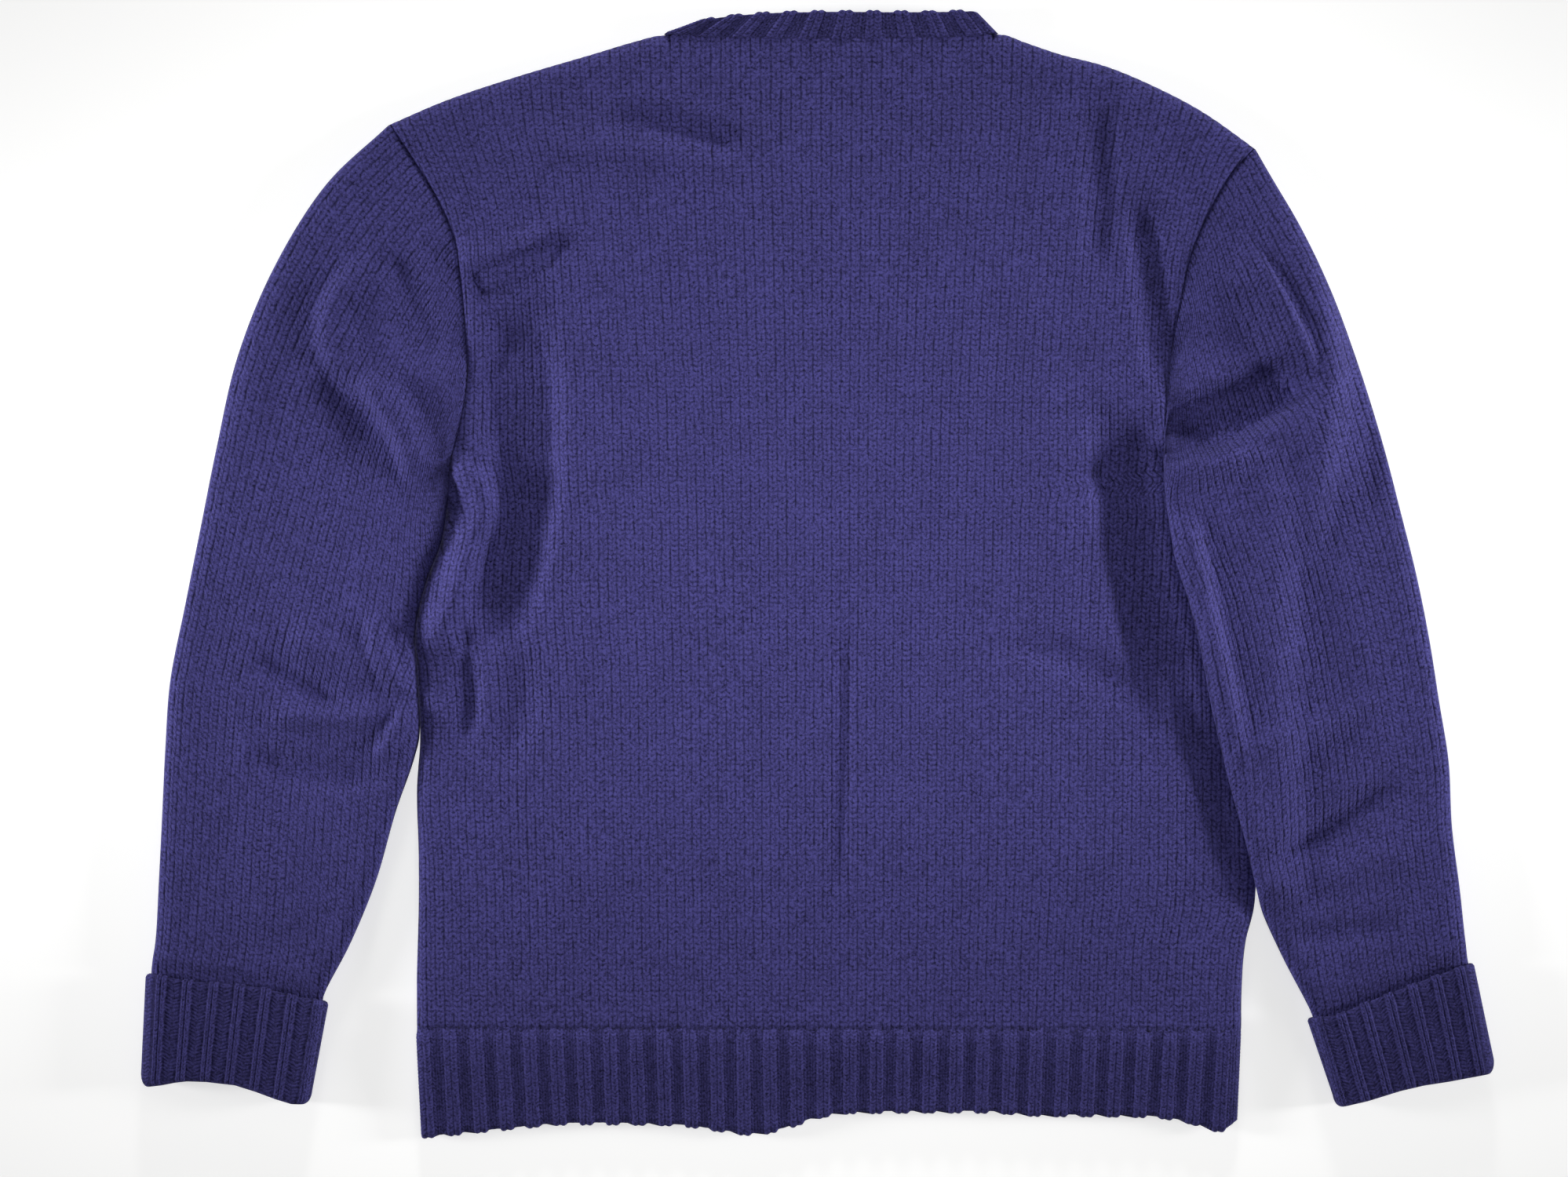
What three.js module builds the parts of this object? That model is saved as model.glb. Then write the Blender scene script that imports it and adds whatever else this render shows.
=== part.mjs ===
import * as THREE from 'three';

// A heavy navy wool sweater laid flat on its front, with its back up.
// Millimetres, +Z up, +Y towards the neck, +X to the right of a viewer above it.
// Left and right are the viewer's. The table is at z = 0.

// Cloth
const WALL = 3;
const SEAM_GAP = 0.3;
const LAYER_GAP = 0.4;
const EDGE_ROLL = 7;

// Heights of the upper layer over the table
const BODY_LOFT = 9.9;
const BODY_SIDE_LOFT = 8.8;
const BODY_LEAST = 6.8;
const PRESSED_LOFT = 8.2;
const SLEEVE_LOFT = 9.8;
const SLEEVE_LEAST = 7.4;
const SEAM_DIP = 1.2;
const SEAM_DIP_WIDTH = 5;

// Body
const HEM_TOP_Y = -283;
const CENTRE_X = 8;
const NECK = { left: -96, right: 112, frontDrop: 58, soft: 10, turn: 12 };
const RIB_RISE = 1.3;
const HEM_RIBS = 31;

// Cuffs
const CUFF_HIGH = 14.6;
const CUFF_RIBS = 7;
const SLEEVE_INTO_CUFF = 12;

// Where the right sleeve lies on the body
const LEDGE = { leftX: 214, leftY: 60, rightX: 262, rightY: 52 };
const REST = { height: 9.2, reach: 10, end: 34 };

// Grid densities
const ARMHOLE_STEPS = 13;
const BODY_COLUMNS = 24;
const SLEEVE_STEPS = 13;
const SLEEVE_STATIONS = 17;

const table = (columns, rows) =>
  rows.map((row) => Object.fromEntries(columns.map((name, i) => [name, row[i]])));

// Upper outline from the left shoulder tip over the back neckline to the right shoulder tip
const TOP_EDGE = table(['x', 'y'], [
  [-267, 279], [-232, 294], [-189, 308.5], [-140, 323], [-115, 330.5], [-98, 334.5], [-80, 333],
  [-40, 331.5], [8, 331], [60, 331.5], [97, 333], [115, 335], [128, 330.5], [150, 323],
  [180, 315], [213, 301], [240, 286.5], [272, 264],
]);

// Armhole seams from shoulder tip to armpit
const ARMHOLE_LEFT = table(['x', 'y'], [
  [-267, 279], [-251, 255], [-236, 230], [-226, 205], [-222, 175], [-219.5, 145],
  [-219, 118], [-223, 92], [-229, 68], [-231, 44],
]);
const ARMHOLE_RIGHT = table(['x', 'y'], [
  [272, 264], [258.5, 250], [248, 233], [238, 213], [231, 194], [226, 171],
  [220.5, 140], [217, 112], [214, 73],
]);

// Sides from armpit to the hem rib
const SIDE_LEFT = table(['x', 'y'], [
  [-231, 44], [-235, 19], [-244, -5], [-251, -35], [-250, -62], [-248, -103], [-250, -135],
  [-249, -175], [-249, -211], [-250, -250], [-250, -283],
]);
const SIDE_RIGHT = table(['x', 'y'], [
  [214, 73], [214, 60], [262, 52], [266, 20], [268, -35], [270, -90], [272, -150], [272, -206],
  [266, -232], [264, -258], [263.5, -284],
]);

// Lower edge of the hem rib
const HEM_EDGE = table(['x', 'y'], [
  [-247, -351], [-222, -348.6], [-183, -344.7], [-163, -342.8], [-84, -343.7], [-65, -346.2],
  [-39, -349], [-16, -344], [-6, -340.3], [13.5, -336], [33, -335.4], [111, -335.4], [131, -337],
  [209, -338.3], [229, -341.3], [251, -346.7], [261, -341],
]);

// Sleeve sections from the armhole to just above the cuff, each a line from the outer to the inner edge
const SLEEVE_COLUMNS = ['outX', 'outY', 'inX', 'inY'];
const SLEEVE_LEFT = table(SLEEVE_COLUMNS, [
  [-267, 279, -231, 44],
  [-307, 240, -232, 38],
  [-339, 188, -234, 28],
  [-361, 134, -237, 14],
  [-374, 78, -243, -4],
  [-384, 28, -250, -28],
  [-394, -22, -252, -52],
  [-403, -68, -250, -80],
  [-406, -110, -249, -106],
  [-408, -152, -263, -150],
  [-410, -192, -275, -192],
  [-412, -228, -291, -231],
]);
const SLEEVE_RIGHT = table(SLEEVE_COLUMNS, [
  [272, 264, 214, 73],
  [300, 213, 213.5, 65],
  [322, 167, 214, 55],
  [338, 124, 215, 43],
  [350, 85, 217, 29],
  [361, 42, 220, 10],
  [372, -2, 228, -16],
  [380, -42, 236, -48],
  [386, -80, 243, -84],
  [392, -118, 253, -126],
  [394, -158, 264, -166],
  [399, -198, 274, -206],
  [402, -226, 288, -238],
]);

// Cuffs: the free upper edge, and the fold at the bottom
const CUFF_LEFT = { topOut: [-418, -251], topIn: [-304.5, -268], endOut: [-421, -320], endIn: [-315, -331] };
const CUFF_RIGHT = { topOut: [407.5, -245], topIn: [306, -277.5], endOut: [420.5, -311], endIn: [325, -333] };

// Folds: start, middle and end of the crest or trough, its half width to the left and right
// of that direction, and its height
const FOLD_COLUMNS = ['x0', 'y0', 'xm', 'ym', 'x1', 'y1', 'left', 'right', 'rise'];
const BODY_FOLDS = table(FOLD_COLUMNS, [
  [-228, 84, -211, 42, -222, 8, 16, 16, 8],
  [-214, 40, -228, -8, -246, -66, 18, 16, 8],
  [-192, 168, -180, 60, -197, -44, 24, 28, -5],
  [-226, 180, -190, 193, -154, 212, 9, 9, -4],
  [-229, -56, -230, -80, -232, -104, 8, 8, -2.5],
  [-106, 278, -76, 272, -44, 264, 8, 8, -2],
  [174, 296, 176, 245, 172, 190, 14, 16, -3.5],
  [206, 240, 207, 170, 203, 105, 16, 14, -4.5],
  [193, 96, 196, -10, 222, -90, 20, 26, -4.5],
  [218, -70, 245, -140, 270, -212, 14, 14, -3],
]);
const SLEEVE_FOLDS = table(FOLD_COLUMNS, [
  [-282, 196, -254, 128, -241, 56, 26, 22, 8],
  [-292, 190, -274, 118, -262, 58, 12, 14, -3],
  [-343, -60, -322, -68, -300, -78, 8, 8, -2.5],
  [-344, -84, -300, -90, -262, -96, 14, 14, 5],
  [-354, -104, -310, -119, -266, -121, 9, 9, -2.5],
  [-332, -42, -300, -48, -272, -58, 22, 20, 3],
  [276, 244, 308, 112, 280, -66, 18, 36, 10],
  [212, 80, 254, 90, 300, 108, 18, 10, -8],
  [236, 66, 262, 0, 284, -110, 24, 26, 5],
  [254, -114, 300, -98, 344, -78, 10, 10, 4],
  [268, -182, 322, -146, 356, -127, 9, 9, -3],
  [292, -222, 326, -221, 358, -216, 10, 10, -2.5],
]);

const { lerp, clamp, smoothstep } = THREE.MathUtils;

const smooth = (points) => new THREE.CatmullRomCurve3(points, false, 'centripetal');
const plan = (rows) => smooth(rows.map(({ x, y }) => new THREE.Vector3(x, y, 0)));
const between = (a, b, t) => new THREE.Vector3().lerpVectors(a, b, t);
const roundRise = (q) => Math.sqrt(Math.max(0, 1 - (1 - clamp(q, 0, 1)) ** 2));

// Distances along an edge of the given length, close together at its two rounded ends
function edgeSteps(length, steps, radius) {
  const near = [0, 0.1, 0.4].map((share) => share * radius);
  const middle = Array.from({ length: steps + 1 }, (_, i) => lerp(radius, length - radius, i / steps));
  return [...near, ...middle, ...near.map((d) => length - d).reverse()];
}

// The point of a curve at a distance along it
const pointAt = (curve, distance) => curve.getPointAt(clamp(distance / curve.getLength(), 0, 1));

// The y of a curve that runs from left to right, at x
function heightOf(curve, x) {
  let low = 0;
  let high = 1;
  for (let i = 0; i < 30; i += 1) {
    const middle = (low + high) / 2;
    if (curve.getPoint(middle).x < x) low = middle;
    else high = middle;
  }
  return curve.getPoint(low).y;
}

// The x of a curve that runs downwards, at y
function sideOf(curve, y) {
  let low = 0;
  let high = 1;
  for (let i = 0; i < 30; i += 1) {
    const middle = (low + high) / 2;
    if (curve.getPoint(middle).y > y) low = middle;
    else high = middle;
  }
  return curve.getPoint(low).x;
}

const FOLD_STEPS = 10;
const withPath = (fold) => {
  const start = new THREE.Vector2(fold.x0, fold.y0);
  const end = new THREE.Vector2(fold.x1, fold.y1);
  const control = new THREE.Vector2(2 * fold.xm - (fold.x0 + fold.x1) / 2, 2 * fold.ym - (fold.y0 + fold.y1) / 2);
  return { ...fold, path: new THREE.QuadraticBezierCurve(start, control, end).getPoints(FOLD_STEPS) };
};

// Height that one fold adds at a place: full on its path, fading to both sides and to both ends
function foldRise(fold, x, y) {
  let nearest = { distance: Infinity, side: 0, along: 0 };
  for (let i = 0; i < FOLD_STEPS; i += 1) {
    const a = fold.path[i];
    const b = fold.path[i + 1];
    const dx = b.x - a.x;
    const dy = b.y - a.y;
    const t = clamp(((x - a.x) * dx + (y - a.y) * dy) / (dx * dx + dy * dy), 0, 1);
    const distance = Math.hypot(x - a.x - t * dx, y - a.y - t * dy);
    if (distance < nearest.distance) {
      nearest = { distance, side: dx * (y - a.y) - dy * (x - a.x), along: (i + t) / FOLD_STEPS };
    }
  }
  const q = nearest.distance / (nearest.side > 0 ? fold.left : fold.right);
  if (q >= 1) return 0;
  const ends = smoothstep(nearest.along, 0, 0.25) * smoothstep(1 - nearest.along, 0, 0.25);
  return fold.rise * Math.cos((Math.PI * q) / 2) ** 2 * ends;
}

const bodyFolds = BODY_FOLDS.map(withPath);
const sleeveFolds = SLEEVE_FOLDS.map(withPath);
const sumOf = (folds, x, y) => folds.reduce((sum, fold) => sum + foldRise(fold, x, y), 0);

const topEdge = plan(TOP_EDGE);
const armhole = { left: plan(ARMHOLE_LEFT), right: plan(ARMHOLE_RIGHT) };
const side = { left: plan(SIDE_LEFT), right: plan(SIDE_RIGHT) };
const hemEdge = plan(HEM_EDGE);
const coverEdge = plan(SLEEVE_RIGHT.map((row) => ({ x: row.inX, y: row.inY })));

// Height of the back's upper face. It is pressed down where the right sleeve lies on it.
function bodyTop(x, y) {
  const sideways = Math.abs(x - CENTRE_X) / 250;
  const loft = lerp(BODY_LOFT, BODY_SIDE_LOFT, smoothstep(sideways, 0.45, 1));
  const towardsEnds = smoothstep(y, 150, 340) + smoothstep(-y, 120, 300);
  const free = lerp(loft, BODY_SIDE_LOFT, clamp(towardsEnds, 0, 1)) + sumOf(bodyFolds, x, y);
  const covered = y > LEDGE.leftY + 14 ? 0 : smoothstep(x - sideOf(coverEdge, y), -16, 0);
  const shut = y < -212 ? 0 : covered;
  return Math.max(BODY_LEAST, lerp(free, PRESSED_LOFT, shut));
}

// Height of what lies under a sleeve: the table, or the body's side
function restUnder(x, y) {
  const ledge = lerp(LEDGE.leftY, LEDGE.rightY, clamp((x - LEDGE.leftX) / (LEDGE.rightX - LEDGE.leftX), 0, 1));
  const outside = Math.max(x - sideOf(side.right, Math.min(y, LEDGE.rightY)), y - ledge);
  const leaves = smoothstep(-y, 196, 214);
  return x < CENTRE_X ? 0 : REST.height * (1 - smoothstep(outside, REST.reach, REST.end)) * (1 - leaves);
}

// A closed solid through closed loops of points, joined in order and the last to the first
function ringSolid(loops) {
  const size = loops[0].length;
  const index = [];
  loops.forEach((_, i) => {
    const next = (i + 1) % loops.length;
    for (let j = 0; j < size; j += 1) {
      const k = (j + 1) % size;
      index.push(i * size + j, i * size + k, next * size + j);
      index.push(i * size + k, next * size + k, next * size + j);
    }
  });
  return solid(loops.flat(), index);
}

// A closed solid between an outer and an inner grid of the same size
function sheetSolid(outer, inner) {
  const rows = outer.length;
  const columns = outer[0].length;
  const half = rows * columns;
  const index = [];
  const quad = (a, b, c, d) => index.push(a, b, c, a, c, d);
  const at = (i, j) => i * columns + j;
  for (let i = 0; i < rows - 1; i += 1) {
    for (let j = 0; j < columns - 1; j += 1) {
      quad(at(i, j), at(i + 1, j), at(i + 1, j + 1), at(i, j + 1));
      quad(half + at(i, j), half + at(i, j + 1), half + at(i + 1, j + 1), half + at(i + 1, j));
    }
  }
  const rim = [];
  for (let j = 0; j < columns - 1; j += 1) rim.push([0, j]);
  for (let i = 0; i < rows - 1; i += 1) rim.push([i, columns - 1]);
  for (let j = columns - 1; j > 0; j -= 1) rim.push([rows - 1, j]);
  for (let i = rows - 1; i > 0; i -= 1) rim.push([i, 0]);
  rim.forEach(([i, j], k) => {
    const [ni, nj] = rim[(k + 1) % rim.length];
    quad(at(i, j), at(ni, nj), half + at(ni, nj), half + at(i, j));
  });
  return solid([...outer.flat(), ...inner.flat()], index);
}

// A geometry from points and triangles, turned so that its faces point out
function solid(points, index) {
  const volume = index.reduce((sum, _, i) => {
    if (i % 3) return sum;
    const [a, b, c] = [points[index[i]], points[index[i + 1]], points[index[i + 2]]];
    return sum + a.dot(new THREE.Vector3().crossVectors(b, c));
  }, 0);
  const geometry = new THREE.BufferGeometry().setFromPoints(points);
  geometry.setIndex(volume > 0 ? index : index.map((_, i) => index[i - (i % 3) + 2 - (i % 3)]));
  geometry.computeVertexNormals();
  return geometry;
}

// Rows of the body as pairs of side points, from the shoulder tips down to the hem rib
function bodyRows() {
  const steps = (curve) => {
    const all = edgeSteps(curve.getLength(), ARMHOLE_STEPS, EDGE_ROLL);
    return [...all.slice(0, -3), all.at(-1)].map((d) => pointAt(curve, d));
  };
  const left = steps(armhole.left);
  const right = steps(armhole.right);
  const fades = left.map((point) => clamp((point.y - 44) / 235, 0, 1));
  const rows = left.map((point, i) => ({ left: point, right: right[i], crown: fades[i], roll: 0 }));
  SIDE_RIGHT.slice(1).forEach((rightRow, i) => {
    const leftRow = SIDE_LEFT[i + 1];
    rows.push({
      left: new THREE.Vector3(leftRow.x, leftRow.y, 0),
      right: new THREE.Vector3(rightRow.x, rightRow.y, 0),
      crown: 0,
      roll: 1,
    });
  });
  return rows;
}

const rows = bodyRows();
const shoulders = rows[0];

// Plan position on a body row, at a share of its width
function onRow(row, share) {
  const point = between(row.left, row.right, share);
  const chord = between(shoulders.left, shoulders.right, share);
  point.y += (heightOf(topEdge, chord.x) - chord.y) * row.crown;
  return point;
}

// How far the upper edge rolls down: fully over the shoulders, not along the neckline
const shoulderRoll = (x) =>
  1 - smoothstep(x, NECK.left, NECK.left + NECK.soft) * (1 - smoothstep(x, NECK.right - NECK.soft, NECK.right));

// The outer and inner point of a rolled sheet at a plan position
function rolled(point, top, edges) {
  const low = WALL + SEAM_GAP;
  const fall = edges.reduce((f, edge) => f * (1 - edge.roll * (1 - roundRise(edge.distance / EDGE_ROLL))), 1);
  const inner = point.clone();
  edges.forEach((edge) => {
    inner.addScaledVector(edge.inward, WALL * edge.roll * (1 - clamp(edge.distance / EDGE_ROLL, 0, 1)));
  });
  const outer = point.clone().setZ(low + (top - low) * fall);
  inner.z = low + (top - WALL - low) * fall;
  return { outer, inner };
}

const seamDip = (distance) => SEAM_DIP * (1 - smoothstep(distance, 0, SEAM_DIP_WIDTH));

function backPanel() {
  const outer = [];
  const inner = [];
  rows.forEach((row) => {
    const width = row.left.distanceTo(row.right);
    const line = edgeSteps(width, BODY_COLUMNS, EDGE_ROLL).map((distance) => {
      const share = distance / width;
      const point = onRow(row, share);
      const start = onRow(shoulders, share);
      const sideDistance = Math.min(distance, width - distance);
      const inward = new THREE.Vector3(distance < width / 2 ? 1 : -1, 0, 0);
      const down = onRow(rows[3], share).sub(start).normalize();
      const edges = [
        { distance: sideDistance, roll: row.roll, inward },
        { distance: point.distanceTo(start), roll: shoulderRoll(start.x), inward: down },
      ];
      const dip = row.roll ? 0 : seamDip(sideDistance);
      return rolled(point, bodyTop(point.x, point.y) - dip, edges);
    });
    outer.push(line.map((pair) => pair.outer));
    inner.push(line.map((pair) => pair.inner));
  });
  return sheetSolid(outer, inner);
}

// The neckline of the front drops below that of the back, but for the band's turns at both ends
const neckShare = (x) => clamp((x - NECK.left - NECK.turn) / (NECK.right - NECK.left - 2 * NECK.turn), 0, 1);
const frontScoop = (x) => NECK.frontDrop * Math.sin(Math.PI * neckShare(x)) ** 1.6;

// The upper edges are straight between their points, and the neckband follows those lines
const FRONT_STEPS = 108;
const backLine = edgeSteps(shoulders.left.distanceTo(shoulders.right), BODY_COLUMNS, EDGE_ROLL)
  .map((distance, _, all) => onRow(shoulders, distance / all.at(-1)));
const frontLine = Array.from({ length: FRONT_STEPS + 1 }, (_, i) => {
  const point = onRow(shoulders, i / FRONT_STEPS);
  point.y -= frontScoop(point.x);
  return point;
});
function lineAt(line, x) {
  const i = line.findIndex((point) => point.x > x);
  const [a, b] = [line[i - 1], line[i]];
  return lerp(a.y, b.y, (x - a.x) / (b.x - a.x));
}

// A flat piece of cloth on the table, from its outline
function flatPiece(outline) {
  const shape = new THREE.Shape(outline.map((point) => new THREE.Vector2(point.x, point.y)));
  return new THREE.ExtrudeGeometry(shape, { depth: WALL, bevelEnabled: false });
}

function frontPanel() {
  const right = rows.slice(1).map((row) => row.right);
  const left = rows.slice(1).map((row) => row.left).reverse();
  return flatPiece([...frontLine, ...right, ...left]);
}

const hemLeft = rows.at(-1).left;
const hemRight = rows.at(-1).right;
const hemTop = (share) => between(hemLeft, hemRight, share).add(new THREE.Vector3(0, -SEAM_GAP, 0));
const hemEnd = (share) => {
  const x = lerp(HEM_EDGE[0].x, HEM_EDGE.at(-1).x, share);
  return new THREE.Vector3(x, heightOf(hemEdge, x), 0);
};

// Shares of a ribbed width, four for each rib, with the rise of the rib at each
function ribSteps(ribs) {
  const steps = [];
  for (let rib = 0; rib < ribs; rib += 1) {
    [[0.04, 0], [0.16, 1], [0.5, 1], [0.62, 0]].forEach(([part, rise]) => {
      steps.push({ share: (rib + part) / ribs, rise: rise * RIB_RISE });
    });
  }
  return [{ share: 0, rise: 0 }, ...steps, { share: 1, rise: 0 }];
}

function hemRibBack() {
  const outer = [];
  const inner = [];
  [0, 0.45, 1].forEach((down) => {
    const line = ribSteps(HEM_RIBS).map(({ share, rise }) => {
      const point = between(hemTop(share), hemEnd(share), down);
      const width = 512;
      const distance = Math.min(share, 1 - share) * width;
      const inward = new THREE.Vector3(share < 0.5 ? 1 : -1, 0, 0);
      const top = lerp(bodyTop(point.x, HEM_TOP_Y), BODY_LEAST, down) + (distance > EDGE_ROLL ? rise : 0);
      const pair = rolled(point, top, [{ distance, roll: 1, inward }]);
      const plain = rolled(point, top - (distance > EDGE_ROLL ? rise : 0), [{ distance, roll: 1, inward }]);
      return { outer: pair.outer, inner: plain.inner };
    });
    outer.push(line.map((pair) => pair.outer));
    inner.push(line.map((pair) => pair.inner));
  });
  return sheetSolid(outer, inner);
}

const HEM_FRONT_SHORTER = 2;

function hemRibFront() {
  const shares = Array.from({ length: FRONT_STEPS + 1 }, (_, i) => i / FRONT_STEPS);
  const low = shares.map((share) => hemEnd(share).add(new THREE.Vector3(0, HEM_FRONT_SHORTER, 0)));
  return flatPiece([hemTop(0), hemTop(1), ...low.reverse()]);
}

// A loop round a flattened tube between two plan points. low and high give the heights of its
// lower and upper outer faces. The inset draws the loop inwards to make the inner face.
function flatLoop({ steps, place, length, low, high, radius, inset, rise = () => 0, shift = () => 0 }) {
  const spot = (step, upper) => {
    const distance = clamp(lerp(inset, length - inset, step / length), inset, length - inset);
    const point = place(distance / length);
    const near = Math.min(distance, length - distance) - inset;
    const bottom = low(point) + inset;
    const top = high(point) - inset;
    const middle = (bottom + top) / 2;
    const fullness = roundRise(near / Math.max(radius - inset, 1));
    if (!upper) point.y -= shift(distance / length);
    point.z = upper ? middle + (top - middle) * fullness : middle - (middle - bottom) * fullness;
    if (upper) point.z += rise(step / length);
    return point;
  };
  const upper = steps.upper.map((step) => spot(step, true));
  const lower = steps.lower.slice(1, -1).reverse().map((step) => spot(step, false));
  return [...upper, ...lower];
}

// Plan of a cuff: distance from its free edge, share across from the outer to the inner side
function cuffPlan(cuff) {
  const [topOut, topIn, endOut, endIn] = [cuff.topOut, cuff.topIn, cuff.endOut, cuff.endIn]
    .map(([x, y]) => new THREE.Vector3(x, y, 0));
  const length = between(topOut, topIn, 0.5).distanceTo(between(endOut, endIn, 0.5));
  return {
    length,
    width: topOut.distanceTo(topIn),
    at: (distance, share) => {
      const down = distance / length;
      return between(between(topOut, endOut, down), between(topIn, endIn, down), share);
    },
  };
}

// Sections of a sleeve, the last ones inside its cuff
function sleeveSections(sections, cuff) {
  const outer = sections.map((row) => new THREE.Vector3(row.outX, row.outY, 0));
  const inner = sections.map((row) => new THREE.Vector3(row.inX, row.inY, 0));
  const share = (WALL + LAYER_GAP) / cuff.width;
  [-3, 3, SLEEVE_INTO_CUFF].forEach((distance) => {
    outer.push(cuff.at(distance, share));
    inner.push(cuff.at(distance, 1 - share));
  });
  return { outerEdge: smooth(outer), innerEdge: smooth(inner), count: outer.length - 1 };
}

const SIDE_CLEARANCE = 0.8;
const BEND_FADES_AT = 0.42;

function sleeve(name, sectionTable, cuff) {
  const isLeft = name === 'left';
  const outward = isLeft ? -1 : 1;
  const seam = armhole[name];
  const { outerEdge, innerEdge, count } = sleeveSections(sectionTable, cuff);
  const seamLength = seam.getLength();

  // The seam's bow off its chord, which fades along the sleeve
  const bend = (share) => pointAt(seam, share * seamLength).sub(between(seam.getPoint(0), seam.getPoint(1), share));
  const place = (along, share) => {
    const inner = innerEdge.getPoint(along);
    if (isLeft && inner.y < 44 && inner.y > -110) {
      inner.x = Math.min(inner.x, sideOf(side.left, inner.y) - SIDE_CLEARANCE);
    }
    const point = between(outerEdge.getPoint(along), inner, share);
    point.addScaledVector(bend(share), 1 - smoothstep(along, 0, BEND_FADES_AT));
    point.x += outward * SEAM_GAP * 1.3 * (1 - smoothstep(along, 0, 0.1));
    return point;
  };
  const cuffDistance = (point) => {
    const across = cuff.at(0, 1).sub(cuff.at(0, 0)).normalize();
    const offset = point.clone().setZ(0).sub(cuff.at(0, 0));
    return outward * (across.x * offset.y - across.y * offset.x);
  };
  const low = (point) => {
    const raised = (WALL + LAYER_GAP) * smoothstep(cuffDistance(point), -16, -2);
    return Math.max(restUnder(point.x, point.y), raised);
  };
  const high = (point, along) => {
    const seamTop = bodyTop(seamNear(point).x, point.y) - SEAM_DIP;
    const free = low(point) + SLEEVE_LOFT + sumOf(sleeveFolds, point.x, point.y) - restUnder(point.x, point.y) * 0.2;
    const own = lerp(seamTop, free, smoothstep(along, 0, 0.07));
    const inCuff = CUFF_HIGH - WALL - LAYER_GAP;
    return Math.max(low(point) + SLEEVE_LEAST, lerp(own, inCuff, smoothstep(cuffDistance(point), -14, -3)));
  };
  const seamNear = (point) => new THREE.Vector3(sideOf(seam, point.y), point.y, 0);

  const stations = [0, 0.012, 0.03];
  for (let i = 1; i <= SLEEVE_STATIONS; i += 1) stations.push(lerp(0.03, 1 - 2 / count, i / SLEEVE_STATIONS));
  stations.push(1 - 1 / count, 1);

  const loop = (along, inset) => {
    const length = along === 0 ? seamLength : place(along, 0).distanceTo(place(along, 1));
    const steps = edgeSteps(length, SLEEVE_STEPS, EDGE_ROLL);
    return flatLoop({
      steps: { upper: steps, lower: steps },
      place: (share) => place(along, share),
      length,
      low,
      high: (point) => high(point, along),
      radius: EDGE_ROLL,
      inset,
    });
  };
  return ringSolid([
    ...stations.map((along) => loop(along, 0)),
    ...[...stations].reverse().map((along) => loop(along, WALL)),
  ]);
}

function cuffSolid(cuff) {
  const { length, width, at } = cuff;
  const innerLayer = WALL + LAYER_GAP;
  const full = innerLayer + WALL;
  const innerTop = SLEEVE_INTO_CUFF + SEAM_GAP;
  const foldStart = length - full / 2;
  const profile = [
    [0, 0, 1], [0.35 * length, 0, 1], [0.7 * length, 0, 1], [foldStart, 0, 1],
    [length - 1, 1, 0.6], [length, full / 2, 0], [length - 1, full - 1, 0],
    [foldStart, full, 0], [innerTop, full, 0], [innerTop, innerLayer, 0],
    [foldStart - 0.2, innerLayer, 0], [foldStart - 0.2, WALL, 0], [0, WALL, 0],
  ];
  const ribs = ribSteps(CUFF_RIBS);
  const radius = CUFF_HIGH / 2;
  const upper = edgeSteps(width, 1, radius).filter((d) => d <= radius / 2 || d >= width - radius / 2);
  const ribbed = ribs.map(({ share }) => lerp(radius, width - radius, share));
  const steps = {
    upper: [...upper, ...ribbed].sort((a, b) => a - b),
    lower: edgeSteps(width, 4, radius),
  };
  const riseAt = (share) => {
    const found = ribbed.findIndex((d) => Math.abs(d / width - share) < 1e-6);
    return found < 0 ? 0 : ribs[found].rise;
  };
  return ringSolid(profile.map(([distance, inset, ribShare]) => flatLoop({
    steps,
    place: (share) => at(distance, share),
    length: width,
    low: () => 0,
    high: () => CUFF_HIGH,
    radius,
    inset,
    rise: (share) => riseAt(share) * ribShare,
  })));
}

const NECK_RIBS = 9;
const NECK_FRONT_STEPS = 40;
const NECK_FREE_EDGE = { left: -76, leftY: 346.5, right: 100, rightY: 350, middleY: 349 };
const NECK_LIFT = 1.5;

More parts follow.
